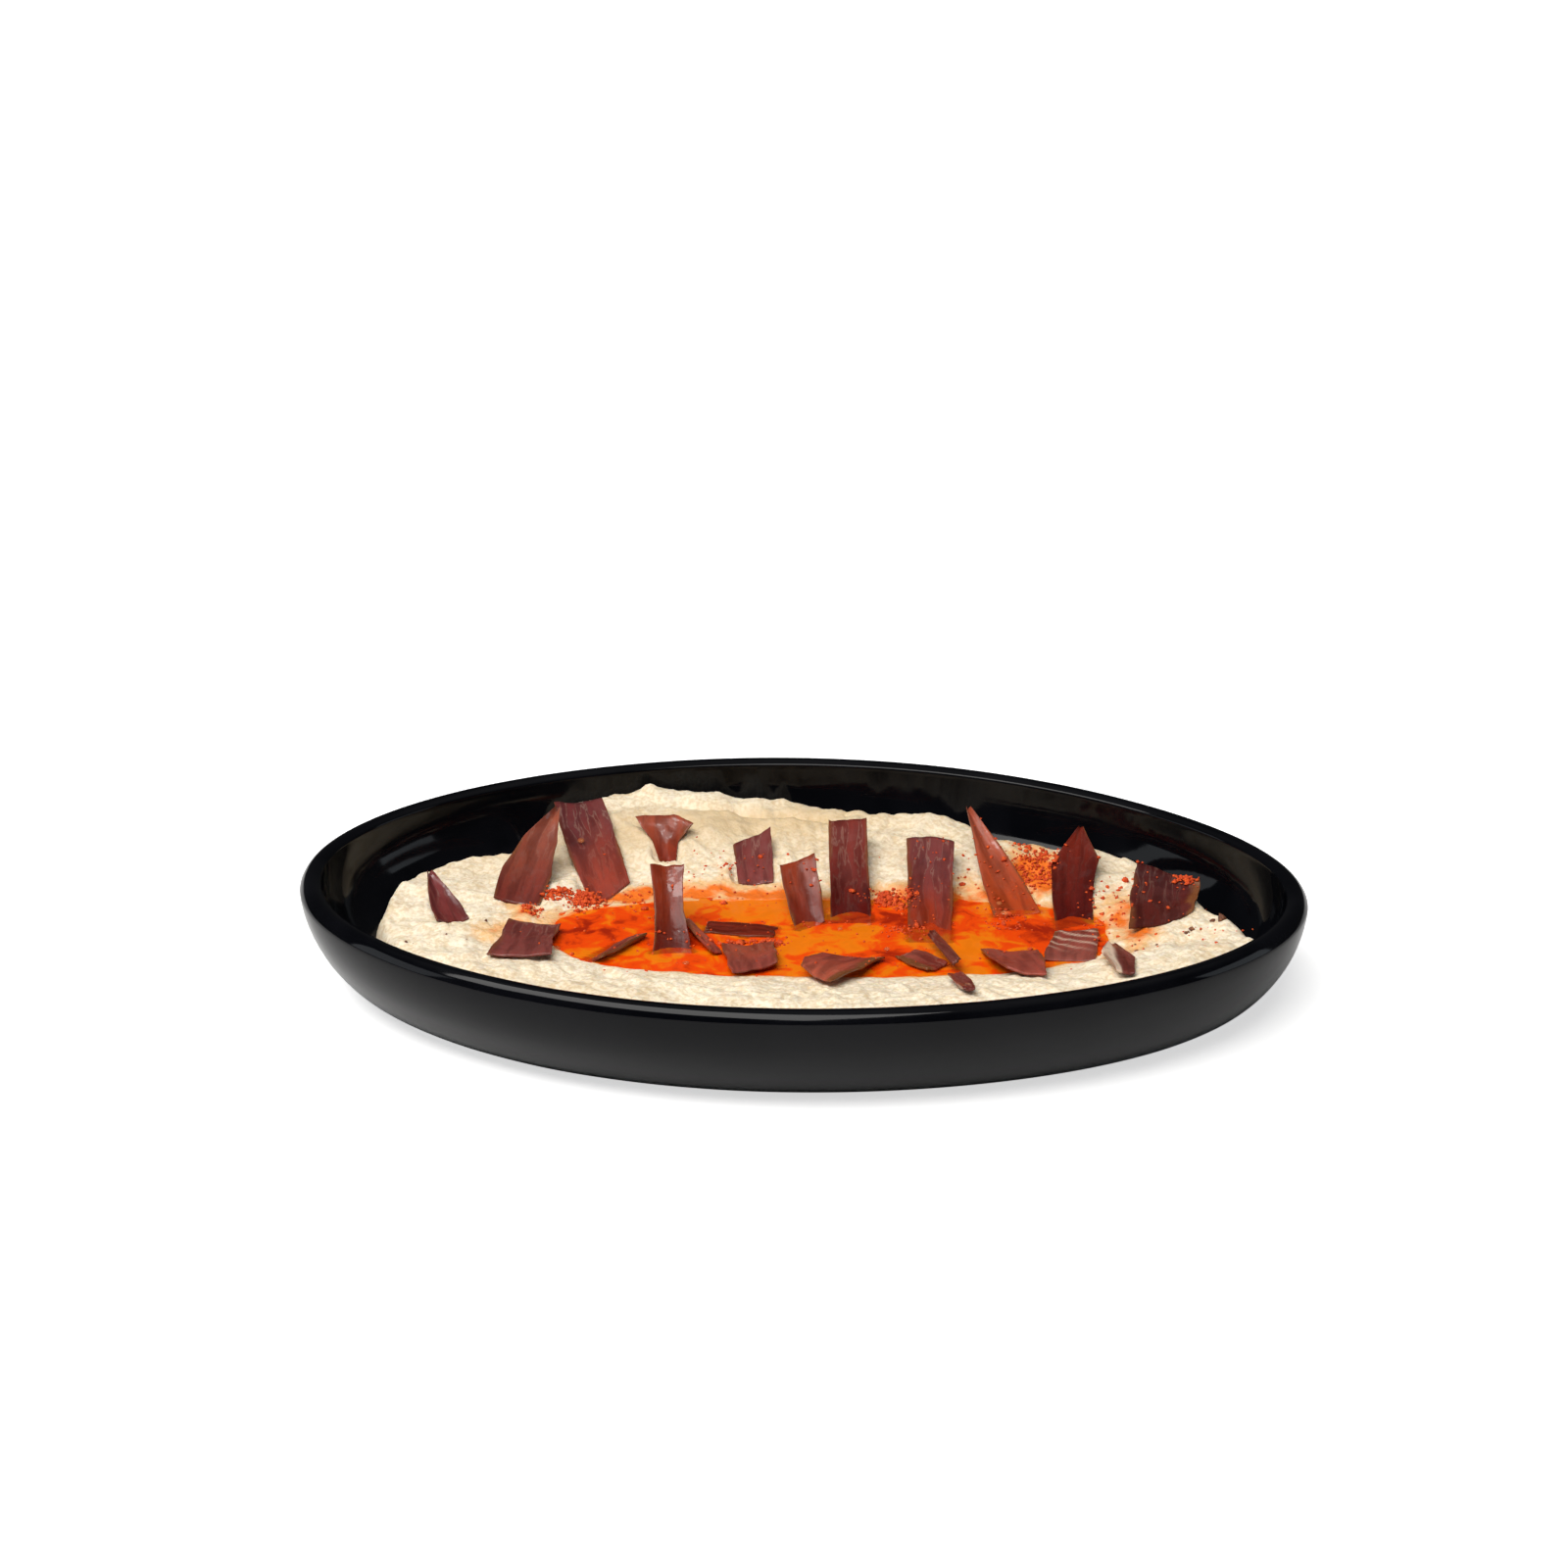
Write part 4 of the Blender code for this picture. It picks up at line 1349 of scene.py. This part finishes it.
SHAVINGS = (
    Shaving(1, (-83, -1.2, 15.6), 117, 26, 16, (8.6, 8, 5, 1.2), meat((120, 52, 52), (118, 50, 48), 0.7), 10, 0, -12, 0, 1.0),
    Shaving(2, (-68.5, 10.5, 15.0), 82, 26, 31, (11.5, 12, 8.5, 1.2), meat((156, 80, 58), (119, 46, 36), 0.35), 14, 4.5, -10, 0, 1),
    Shaving(3, (-65.5, -25, 17.6), 84, -4, 22, (14.5, 12.5, 13), meat((112, 50, 46), (134, 66, 60), 0.6), 0, 0, 0, 0, 0.8, 1, -1),
    Shaving(4, (-46, 17, 14.0), 106, 17, 37, (10.5, 12.5, 12.5), meat((105, 46, 46), (152, 62, 46), 0.7), 6, 0, 8, -8, 0.9, 3),
    Shaving(5, (-32.5, 32, 16.6), 97, 32, 15, (4, 6.5, 14.5), meat((157, 70, 44), (140, 50, 30), 0.2), 20, 0, 6, 10, 1.4, 0, -2, 2),
    Shaving(6, (-30, -17, 13.6), 96, 40, 24.5, (9.6, 6.6, 8.2), meat((150, 54, 26), (104, 28, 14), 0.15), 22, 0, 0, -10, 0.9),
    Shaving(7, (-48, -22.5, 15.4), 52, 1, 17.5, (5.5, 5, 3), meat((140, 66, 50), (130, 58, 44), 0.4, 0, 0.25), 0, 0, 28, 0, 0.4),
    Shaving(8, (-19.8, -19, 15.9), 112, 0, 20.5, (3, 4, 2.2), meat((176, 84, 66), (166, 72, 56), 0.5), 0, 0, -30, 0, 0.3),
    Shaving(9, (-22.4, -3.4, 14.9), -9, 0, 16.5, (6, 7, 6), meat((120, 36, 18), (112, 34, 18), 0.1), 0, 0, 0, 0, 0.3),
    Shaving(10, (-10.6, -29.5, 16.7), 97, -4, 15.5, (11, 12, 12.2), meat((161, 74, 52), (150, 70, 58), 0.4), -6, 0, 0, 0, 0.7, 2),
    Shaving(11, (-11, 22.5, 15.0), 94, 22, 16, (8.4, 9, 9.6), meat((122, 54, 50), (128, 60, 56), 0.6), 4, 0, 0, 6, 0.5, 0, 2.4),
    Shaving(12, (2.5, -2, 13.6), 102, 35, 20, (7, 8.6, 9), meat((148, 56, 28), (118, 36, 18), 0.15), 12, 0, 0, 8, 1.2, 1.6, 1),
    Shaving(13, (3.6, -37, 18.6), 66, -9, 18, (10, 14, 12), meat((156, 62, 46), (180, 88, 66), 0.35, 0, 0.14), -8, 2, 0, 0, 0.7, -3, 3),
    Shaving(14, (12, 0.5, 13.6), 91, 18, 39, (9.8, 9.4, 9.4), meat((124, 48, 40), (84, 12, 6), 0.6), 14, 0, 0, 4, 0.8),
    Shaving(15, (30.3, -10.5, 13.0), 88, 16, 42, (9.8, 10.6, 11.8), meat((124, 58, 56), (150, 48, 18), 0.7), 10, 0, 0, -4, 1, 0, 0, 2),
    Shaving(16, (24.4, -18.5, 15.3), -48, 2, 11, (6.5, 7.5, 6), meat((130, 46, 32), (150, 74, 60), 0.5, 0, 0.3), 0, 0, 0, 0, 0.4),
    Shaving(17, (36.0, -29, 18.2), 109, 1, 17, (2.4, 2.4, 2), meat((110, 44, 30), (120, 60, 50), 0.5), 0, 0, 36, 0, 0),
    Shaving(18, (37.8, -52.5, 22.4), 98, -15, 20, (2.8, 4, 3.4), meat((130, 56, 50), (124, 50, 44), 0.5), 0, 0, 0, 0, 0.3, 0, 0, 1),
    Shaving(19, (52, 5, 14.4), 103, 22, 38, (11.5, 10, 6, 1.2), meat((172, 82, 56), (176, 66, 24), 0.2), 16, -3, 0, 0, 0.9),
    Shaving(20, (51.5, -36.5, 19.0), 99, -9, 19, (8, 12, 12.5), meat((158, 72, 56), (162, 76, 62), 0.4), -10, 0, 0, 0, 0.6, -3, -2),
    Shaving(21, (65.5, -1, 13.6), 91, 20, 36, (9, 10, 11.5, 1.2), meat((112, 30, 14), (84, 10, 4), 0.1), 10, 4, 0, 0, 0.8, 2),
    Shaving(22, (62.5, -22, 15.2), 80, 0, 17, (12, 11.5, 10), meat((140, 62, 50), (156, 82, 70), 0.4, 0, 0, True), 0, 0, 0, 0, 0.5, 1, 2),
    Shaving(23, (73.2, -43, 22.2), 92, -9, 25, (4.5, 8, 1.5), meat((140, 70, 60), (124, 56, 48), 0.5, -0.5), -10, 0, -14, 0, 0.5),
    Shaving(24, (84.8, -7.0, 18.1), 80, 16, 19, (14, 16, 16), meat((82, 30, 28), (88, 32, 26), 0.4, 0, 0.12), 10, 0, -4, 0, 1.2, 5, -2),
)


@dataclass
class ShavingPiece:
    """One shaving with fine edges, curl and unevenness."""

    shaving: Shaving
    steps: int = 44
    strips: int = 18
    thickness: float = 0.95
    edge_share: float = 0.5

    @property
    def node(self) -> str:
        """Name of its CAD node."""
        return f"shaving_{self.shaving.number:02d}"

    def sheets(self) -> tuple[Array, Array, Array, Array]:
        """The two faces of the shaving.

        Returns:
            Points of the upper face and of the lower one, as grids, and the grids of the
            share along it and of the share across it, -1 to 1.
        """
        spec = self.shaving
        heading = math.radians(spec.heading)
        forward = np.array([math.cos(heading), math.sin(heading), 0.0])
        right = np.array([math.sin(heading), -math.cos(heading), 0.0])
        along = np.linspace(0, 1, self.steps + 1)
        climb = np.radians(spec.lean + spec.bend * (along - 0.5))
        tangent = np.cos(climb)[:, None] * forward + np.sin(climb)[:, None] * np.array([0, 0, 1.0])
        step = spec.length / self.steps * (tangent[1:] + tangent[:-1]) / 2
        centre = np.array(spec.foot, float) + np.vstack([[0, 0, 0], np.cumsum(step, axis=0)])
        centre += spec.sweep * along[:, None] ** 2 * right
        width = np.interp(along, np.linspace(0, 1, len(spec.widths)), spec.widths)
        roll = np.radians(spec.roll + spec.twist * along)[:, None]
        side = np.cos(roll) * right + np.sin(roll) * np.cross(right, tangent)
        normal = np.cross(side, tangent)
        v, t = np.meshgrid(np.sin(np.linspace(-math.pi / 2, math.pi / 2, self.strips + 1)), along)
        noise = Noise(100 + spec.number)
        edge = 1 + 0.07 * noise.layered(4 * t, np.sign(v) * 2.0, 3)
        reach = spec.foot_cut * v * (1 - t) + spec.tip_cut * v * t - spec.tip_round * v * v * t
        reach = reach + 0.5 * noise.at(2.5 * v + 9, 3 * t) * (t > 0.8) * (t - 0.8) * 5
        bow = spec.cup * (v * v - 0.5) + 0.38 * noise.layered(3 * t + 5, 1.6 * v, 2)
        middle = centre[:, None, :] + side[:, None, :] * (v * edge * width[:, None] / 2)[..., None]
        middle = middle + tangent[:, None, :] * reach[..., None] + normal[:, None, :] * bow[..., None]
        ends = np.minimum(1, 8 * np.minimum(t, 1 - t) + self.edge_share)
        thin = (self.edge_share + (1 - self.edge_share) * np.sqrt(np.clip(1 - v**6, 0, 1))) * ends
        half = self.thickness / 2 * thin * (1 + 0.2 * noise.at(5 * t, 3 * v + 20))
        offset = normal[:, None, :] * half[..., None]
        return middle + offset, middle - offset, t, v

    def placed(self) -> tuple[Array, Array, Array, Array]:
        """The two faces, centred on the shaving's CAD node, with the shares along and across."""
        upper, lower, t, v = self.sheets()
        both = np.concatenate([upper.reshape(-1, 3), lower.reshape(-1, 3)])
        low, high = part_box(self.node)
        shift = np.array((low + high) / 2) / MM - (both.min(axis=0) + both.max(axis=0)) / 2
        return upper + shift, lower + shift, t, v

    def top(self, x: Array, y: Array) -> Array:
        """Height of the shaving's upper face over points, and 0 where it isn't below them.

        Args:
            x: Across, in millimetres.
            y: Along, in millimetres.

        Returns:
            The heights.
        """
        upper = self.placed()[0].reshape(-1, 3)
        squared = (x[:, None] - upper[:, 0]) ** 2 + (y[:, None] - upper[:, 1]) ** 2
        closest = squared.argmin(axis=1)
        return np.where(squared.min(axis=1) < 0.3, upper[closest, 2], 0.0)

    def build(self, finish: bpy.types.Material) -> bpy.types.Object:
        """Makes the piece.

        Args:
            finish: Its material.

        Returns:
            The object.
        """
        upper, lower, t, v = self.placed()
        rows, columns = t.shape
        points = np.vstack([upper.reshape(-1, 3), lower.reshape(-1, 3)])
        grid = np.arange(rows * columns).reshape(rows, columns)
        quads = np.stack([grid[:-1, :-1], grid[:-1, 1:], grid[1:, 1:], grid[1:, :-1]], axis=-1).reshape(-1, 4)
        beneath = quads[:, ::-1] + rows * columns
        border = np.concatenate([grid[0, :-1], grid[:-1, -1], grid[-1, :0:-1], grid[:0:-1, 0]])
        after = np.roll(border, -1)
        sides = np.stack([after, border, border + rows * columns, after + rows * columns], axis=-1)
        faces = np.vstack([quads, beneath, sides]).tolist()
        obj = make_object(f"{self.node}_cured", points, faces)
        self.paint(obj, t, v)
        add_piece(obj, finish, (self.node,))
        return obj

    def paint(self, obj: bpy.types.Object, t: Array, v: Array) -> None:
        """Keeps the shaving's colours and place along it on its points.

        Args:
            obj: The object.
            t: Share along the shaving, as a grid.
            v: Share across it, -1 to 1, as a grid.
        """
        spec, look = self.shaving, self.shaving.look
        noise = Noise(200 + spec.number)
        width = np.interp(t, np.linspace(0, 1, len(spec.widths)), spec.widths)
        strip = np.stack([v * width / 2, t * spec.length, np.full_like(t, 13.7 * spec.number)], axis=-1)
        share = smoothstep(0.1, 0.9, t + 0.15 * noise.at(3 * t, 2 * v))[..., None]
        tone = np.array(look.foot) * (1 - share) + np.array(look.tip) * share
        across = np.abs(v + 0.22 * noise.layered(4 * t, 2 * v, 2))
        fat = np.zeros_like(t)
        if look.fat:
            inner = (v - look.fat * 0.2 + 0.12 * noise.layered(5 * t, v, 2)) * np.sign(look.fat)
            fat = smoothstep(0.0, 0.25, inner)
        if look.stripes:
            wave = np.sin(1.9 * strip[..., 1] + 1.1 * strip[..., 0])
            fat = np.maximum(fat, 0.6 * smoothstep(0.55, 0.95, wave) * smoothstep(0.2, 0.6, t))
        crust = smoothstep(0.9, 1.05, across) * 0.7
        if look.crust:
            crust = np.maximum(crust, smoothstep(1 - 2 * look.crust, 1.1 - 2 * look.crust, v + 0.15 * noise.at(5 * t, v)))
        for layer, values in (
            (Layer.STRIP, strip.reshape(-1, 3)),
            (Layer.TONE, tone.reshape(-1, 3)),
            # The haze layer: share of bloom colour, partly a painted sheen, stronger toward the tip.
            (Layer.HAZE, look.haze * (0.25 + 0.75 * smoothstep(0.35, 0.8, t)).ravel()),
            (Layer.FAT, fat.ravel()),
            (Layer.CRUST, crust.ravel()),
        ):
            set_layer(obj, layer, np.concatenate([values, values]))


# ---------------------------------------------------------------- powder, crumbs and drops


def unit_ball(detail: int) -> tuple[Array, Array]:
    """A ball of radius 1 from an octahedron.

    Args:
        detail: How many times each face is cut in four.

    Returns:
        Its points and its triangles.
    """
    points = [(1, 0, 0), (-1, 0, 0), (0, 1, 0), (0, -1, 0), (0, 0, 1), (0, 0, -1)]
    faces = [(0, 2, 4), (2, 1, 4), (1, 3, 4), (3, 0, 4), (2, 0, 5), (1, 2, 5), (3, 1, 5), (0, 3, 5)]
    points = [np.array(p, float) for p in points]
    for _ in range(detail):
        halves, finer = {}, []

        def half(a: int, b: int) -> int:
            """The point half way between two."""
            key = (min(a, b), max(a, b))
            if key not in halves:
                middle = points[a] + points[b]
                halves[key] = len(points)
                points.append(middle / np.linalg.norm(middle))
            return halves[key]

        for a, b, c in faces:
            ab, bc, ca = half(a, b), half(b, c), half(c, a)
            finer += [(a, ab, ca), (ab, b, bc), (ca, bc, c), (ab, bc, ca)]
        faces = finer
    return np.array(points), np.array(faces)


@dataclass(frozen=True)
class Heap:
    """Grains scattered round a point: how many, how far, their radius and how high they pile."""

    x: float
    y: float
    count: int
    spread_x: float
    spread_y: float
    radius: float
    pile: float = 0.0


@dataclass
class Grains:
    """Many small grains of one kind, joined into one piece."""

    name: str
    form: HummusForm
    shavings: tuple
    heaps: tuple
    seed: int
    squash: float = 0.75
    rough: float = 0.3
    detail: int = 1

    def build(self, finish: bpy.types.Material, slot: Slot) -> bpy.types.Object:
        """Makes the piece.

        Args:
            finish: Its material.
            slot: The record's slot; not used.

        Returns:
            The object.
        """
        random = np.random.default_rng(self.seed)
        ball, triangles = unit_ball(self.detail)
        points, faces = [], []
        for heap in self.heaps:
            x = heap.x + heap.spread_x * random.normal(size=heap.count)
            y = heap.y + heap.spread_y * random.normal(size=heap.count)
            ground = np.maximum(self.form.surface(x, y), self.form.oil_level)
            for piece in self.shavings:
                ground = np.maximum(ground, piece.top(x, y))
            radius = heap.radius * np.exp(0.4 * random.normal(size=heap.count))
            away = ((x - heap.x) / heap.spread_x) ** 2 + ((y - heap.y) / heap.spread_y) ** 2
            raised = heap.pile * np.exp(-away / 2) * random.random(heap.count)
            for i in range(heap.count):
                lumps = 1 + self.rough * random.normal(size=(len(ball), 1)).clip(-1.5, 1.5)
                stretch = radius[i] * np.array([1.0, 1.0, self.squash]) * (1 + 0.3 * random.random(3))
                turn = random.random() * 2 * math.pi
                spin = np.array([[math.cos(turn), -math.sin(turn), 0], [math.sin(turn), math.cos(turn), 0], [0, 0, 1]])
                place = [x[i], y[i], ground[i] + raised[i] + 0.25 * radius[i]]
                faces.append(triangles + sum(len(p) for p in points))
                points.append((ball * lumps * stretch) @ spin.T + place)
        obj = make_object(self.name, np.vstack(points), np.vstack(faces).tolist())
        add_piece(obj, finish)
        return obj


@dataclass
class Drops:
    """Drops of oil that cling to the shavings and the hummus, as flattened beads."""

    places: tuple
    detail: int = 3
    stretch: float = 1.2

    def build(self, finish: bpy.types.Material) -> bpy.types.Object:
        """Makes the piece.

        Args:
            finish: Its material.

        Returns:
            The object.
        """
        ball, triangles = unit_ball(self.detail)
        points, faces = [], []
        for i, (x, y, z, radius, flat) in enumerate(self.places):
            faces.append(triangles + i * len(ball))
            points.append(ball * np.array([radius, radius * self.stretch, radius * flat]) + [x, y, z])
        obj = make_object("oil_drops", np.vstack(points), np.vstack(faces).tolist())
        add_piece(obj, finish)
        return obj


# ---------------------------------------------------------------- studio


@dataclass(frozen=True)
class SoftBox:
    """A rectangular lamp: where it is, what it faces, its sizes in metres, power and tint."""

    name: str
    place: tuple
    aim: tuple
    width: float
    depth: float
    power: float
    tint: Colour = (1.0, 1.0, 1.0)

    def build(self) -> bpy.types.Object:
        """Makes the lamp and returns it."""
        lamp = bpy.data.lights.new(self.name, "AREA")
        lamp.shape = "RECTANGLE"
        lamp.size, lamp.size_y = self.width, self.depth
        lamp.energy, lamp.color = self.power, self.tint
        obj = bpy.data.objects.new(self.name, lamp)
        obj.location = self.place
        obj.rotation_mode = "QUATERNION"
        obj.rotation_quaternion = (Vector(self.aim) - Vector(self.place)).to_track_quat("-Z", "Y")
        bpy.context.scene.collection.objects.link(obj)
        return obj


@dataclass
class Studio:
    """Pale floor, soft lamps, dim surroundings and the camera."""

    camera_place: tuple = (0.0, -0.77651, 0.36813)
    camera_aim: tuple = (-0.00408, 0.01023, 0.0464)
    lens: float = 82.08
    sensor: float = 36.0
    surroundings: float = 0.03
    overhead: float = 0.3
    floor_lift: float = 0.62
    far_lift: float = 1.0
    floor_colour: Colour = (0.86, 0.86, 0.865)
    lift_from: float = 0.13
    lift_to: float = 0.34
    dome_from: float = 0.65
    dome_to: float = 0.97
    lamps: tuple = (
        SoftBox("lamp_main", (-0.38, -0.5, 1.15), (0, 0, 0), 1.5, 0.8, 24.5, (1.0, 0.985, 0.96)),
        SoftBox("lamp_left", (-1.25, -0.15, 0.45), (0, 0, 0.02), 0.6, 0.6, 1.6, (0.90, 0.95, 1.0)),
        SoftBox("lamp_right", (1.25, -0.1, 0.35), (0, 0, 0.02), 0.6, 0.5, 1.3, (0.85, 0.93, 1.0)),
    )

    def build(self) -> None:
        """Makes the floor, the lamps, the surroundings and the camera."""
        self.build_floor()
        for lamp in self.lamps:
            lamp.build()
        self.build_surroundings()
        camera = bpy.data.cameras.new("camera")
        camera.lens, camera.sensor_width = self.lens, self.sensor
        obj = bpy.data.objects.new("camera", camera)
        obj.location = self.camera_place
        obj.rotation_mode = "QUATERNION"
        look = Vector(self.camera_aim) - Vector(self.camera_place)
        obj.rotation_quaternion = look.to_track_quat("-Z", "Y")
        bpy.context.scene.collection.objects.link(obj)
        bpy.context.scene.camera = obj
        bpy.context.scene.view_settings.view_transform = "Standard"

    def build_surroundings(self) -> None:
        """Makes surroundings that are dark near the horizon and soft grey overhead."""
        world = bpy.data.worlds.new("surroundings")
        world.use_nodes = True
        sheet = NodeSheet(world.node_tree)
        split = sheet.add("SeparateXYZ")
        sheet.link(sheet.add("TexCoord").outputs["Generated"], split, 0)
        level = sheet.spread(split.outputs["Z"], self.dome_from, self.dome_to, self.surroundings, self.overhead)
        sheet.link(level, world.node_tree.nodes["Background"], "Strength")
        world.node_tree.nodes["Background"].inputs["Color"].default_value = (1.0, 1.0, 1.0, 1.0)
        bpy.context.scene.world = world

    def build_floor(self) -> None:
        """Makes the floor, which looks white to the camera but keeps its shadows."""
        corners = np.array([[-6000, -6000, 0], [6000, -6000, 0], [6000, 6000, 0], [-6000, 6000, 0]])
        floor = make_object("floor", corners, [[0, 1, 2, 3]], smooth=False)
        material = bpy.data.materials.new("floor")
        material.use_nodes = True
        sheet = NodeSheet(material.node_tree)
        shader = material.node_tree.nodes["Principled BSDF"]
        shader.inputs["Base Color"].default_value = (*self.floor_colour, 1.0)
        shader.inputs["Roughness"].default_value = 0.9
        shader.inputs["Specular IOR Level"].default_value = 0.1
        path = sheet.add("LightPath")
        length = sheet.add("VectorMath", operation="LENGTH")
        sheet.link(sheet.position(), length, 0)
        level = sheet.spread(length.outputs["Value"], self.lift_from, self.lift_to, self.floor_lift, self.far_lift)
        lift = sheet.math("MULTIPLY", path.outputs["Is Camera Ray"], level)
        shader.inputs["Emission Color"].default_value = (1.0, 1.0, 1.0, 1.0)
        sheet.link(lift, shader, "Emission Strength")
        floor.data.materials.append(material)


# ---------------------------------------------------------------- all together


PAPRIKA_HEAPS = (
    Heap(-51.9, 11.8, 420, 1.7, 2.1, 0.26, 1.5), Heap(-57.5, 14.7, 110, 1.2, 1.2, 0.24, 0.8),
    Heap(-60.7, 13.5, 70, 1.0, 1.0, 0.24, 0.6), Heap(-64.2, 4.9, 60, 1.4, 1.6, 0.24, 0.4),
    Heap(20.8, 12.8, 220, 1.7, 2.0, 0.25, 1.0), Heap(25.4, 9.0, 120, 1.8, 1.6, 0.24, 0.5),
    Heap(92.6, 8.0, 90, 1.5, 1.3, 0.26, 0.5), Heap(48, 3, 80, 3, 3.5, 0.22), Heap(24.5, -4, 60, 2.4, 2.0, 0.22),
    Heap(-20, 25, 60, 12, 6, 0.2), Heap(40, 25, 60, 8, 6, 0.22), Heap(57, 28, 300, 3.2, 6, 0.24, 0.5),
    Heap(75, 4, 90, 5, 9, 0.25), Heap(-45, 13, 50, 7, 4, 0.25), Heap(5, 12, 40, 14, 2.5, 0.22),
    Heap(-22, -12.4, 40, 7, 0.9, 0.3, 0.2), Heap(-8, -12.3, 40, 4, 0.9, 0.3, 0.2),
    Heap(95, -12, 18, 6, 6, 0.22), Heap(0, -20, 60, 36, 5, 0.22), Heap(10, 0, 60, 36, 5, 0.22),
)
CRUMB_HEAPS = (
    Heap(98.2, -9.4, 3, 0.5, 0.5, 0.5, 0.2), Heap(91.0, -13.3, 3, 0.5, 0.5, 0.45, 0.2),
    Heap(84, -17, 3, 4, 3, 0.3), Heap(-84, -12, 5, 8, 6, 0.18),
)
DROPS = (
    (-54.4, 36.1, 20.6, 0.9, 0.6), (20.2, -15.4, 15.1, 0.7, 0.6), (9.3, -3.9, 15.05, 0.6, 0.5),
    (16.3, -1.1, 15.05, 0.6, 0.5), (-26.7, -23.2, 15.1, 0.8, 0.4), (-57.3, -15.3, 15.1, 0.9, 0.4),
    (48.6, 2.1, 16.6, 0.9, 0.5), (47.5, 6.0, 17.4, 0.7, 0.5),
)


def main() -> None:
    """Builds every piece in order."""
    logging.basicConfig(level=logging.INFO, format="%(name)s %(message)s")
    effects = Effects()
    dish_form = DishForm()
    hummus_form = HummusForm(dish_form)
    Dish(dish_form).build(BlackGlaze().build(effects))
    pieces = tuple(ShavingPiece(shaving) for shaving in SHAVINGS)
    Hummus(hummus_form, pieces).build(HummusPaste().build(effects))
    Oil(hummus_form, pieces).build(PaprikaOil().build(effects))
    cured = CuredMeat().build(effects)
    for piece in pieces:
        piece.build(cured)
    paprika = Powder("paprika", (0.86, 0.12, 0.006), (0.52, 0.042, 0.002)).build(effects)
    Grains("paprika_grains", hummus_form, pieces, PAPRIKA_HEAPS, 5).build(paprika, Slot.OIL)
    crumb = Powder("crumbs", (0.30, 0.12, 0.05), (0.12, 0.04, 0.02)).build(effects)
    Grains("crumbs", hummus_form, pieces, CRUMB_HEAPS, 6).build(crumb, Slot.MEAT)
    Drops(DROPS).build(ClearDrop().build(effects))
    Studio().build()


if __name__ == "__main__":
    main()
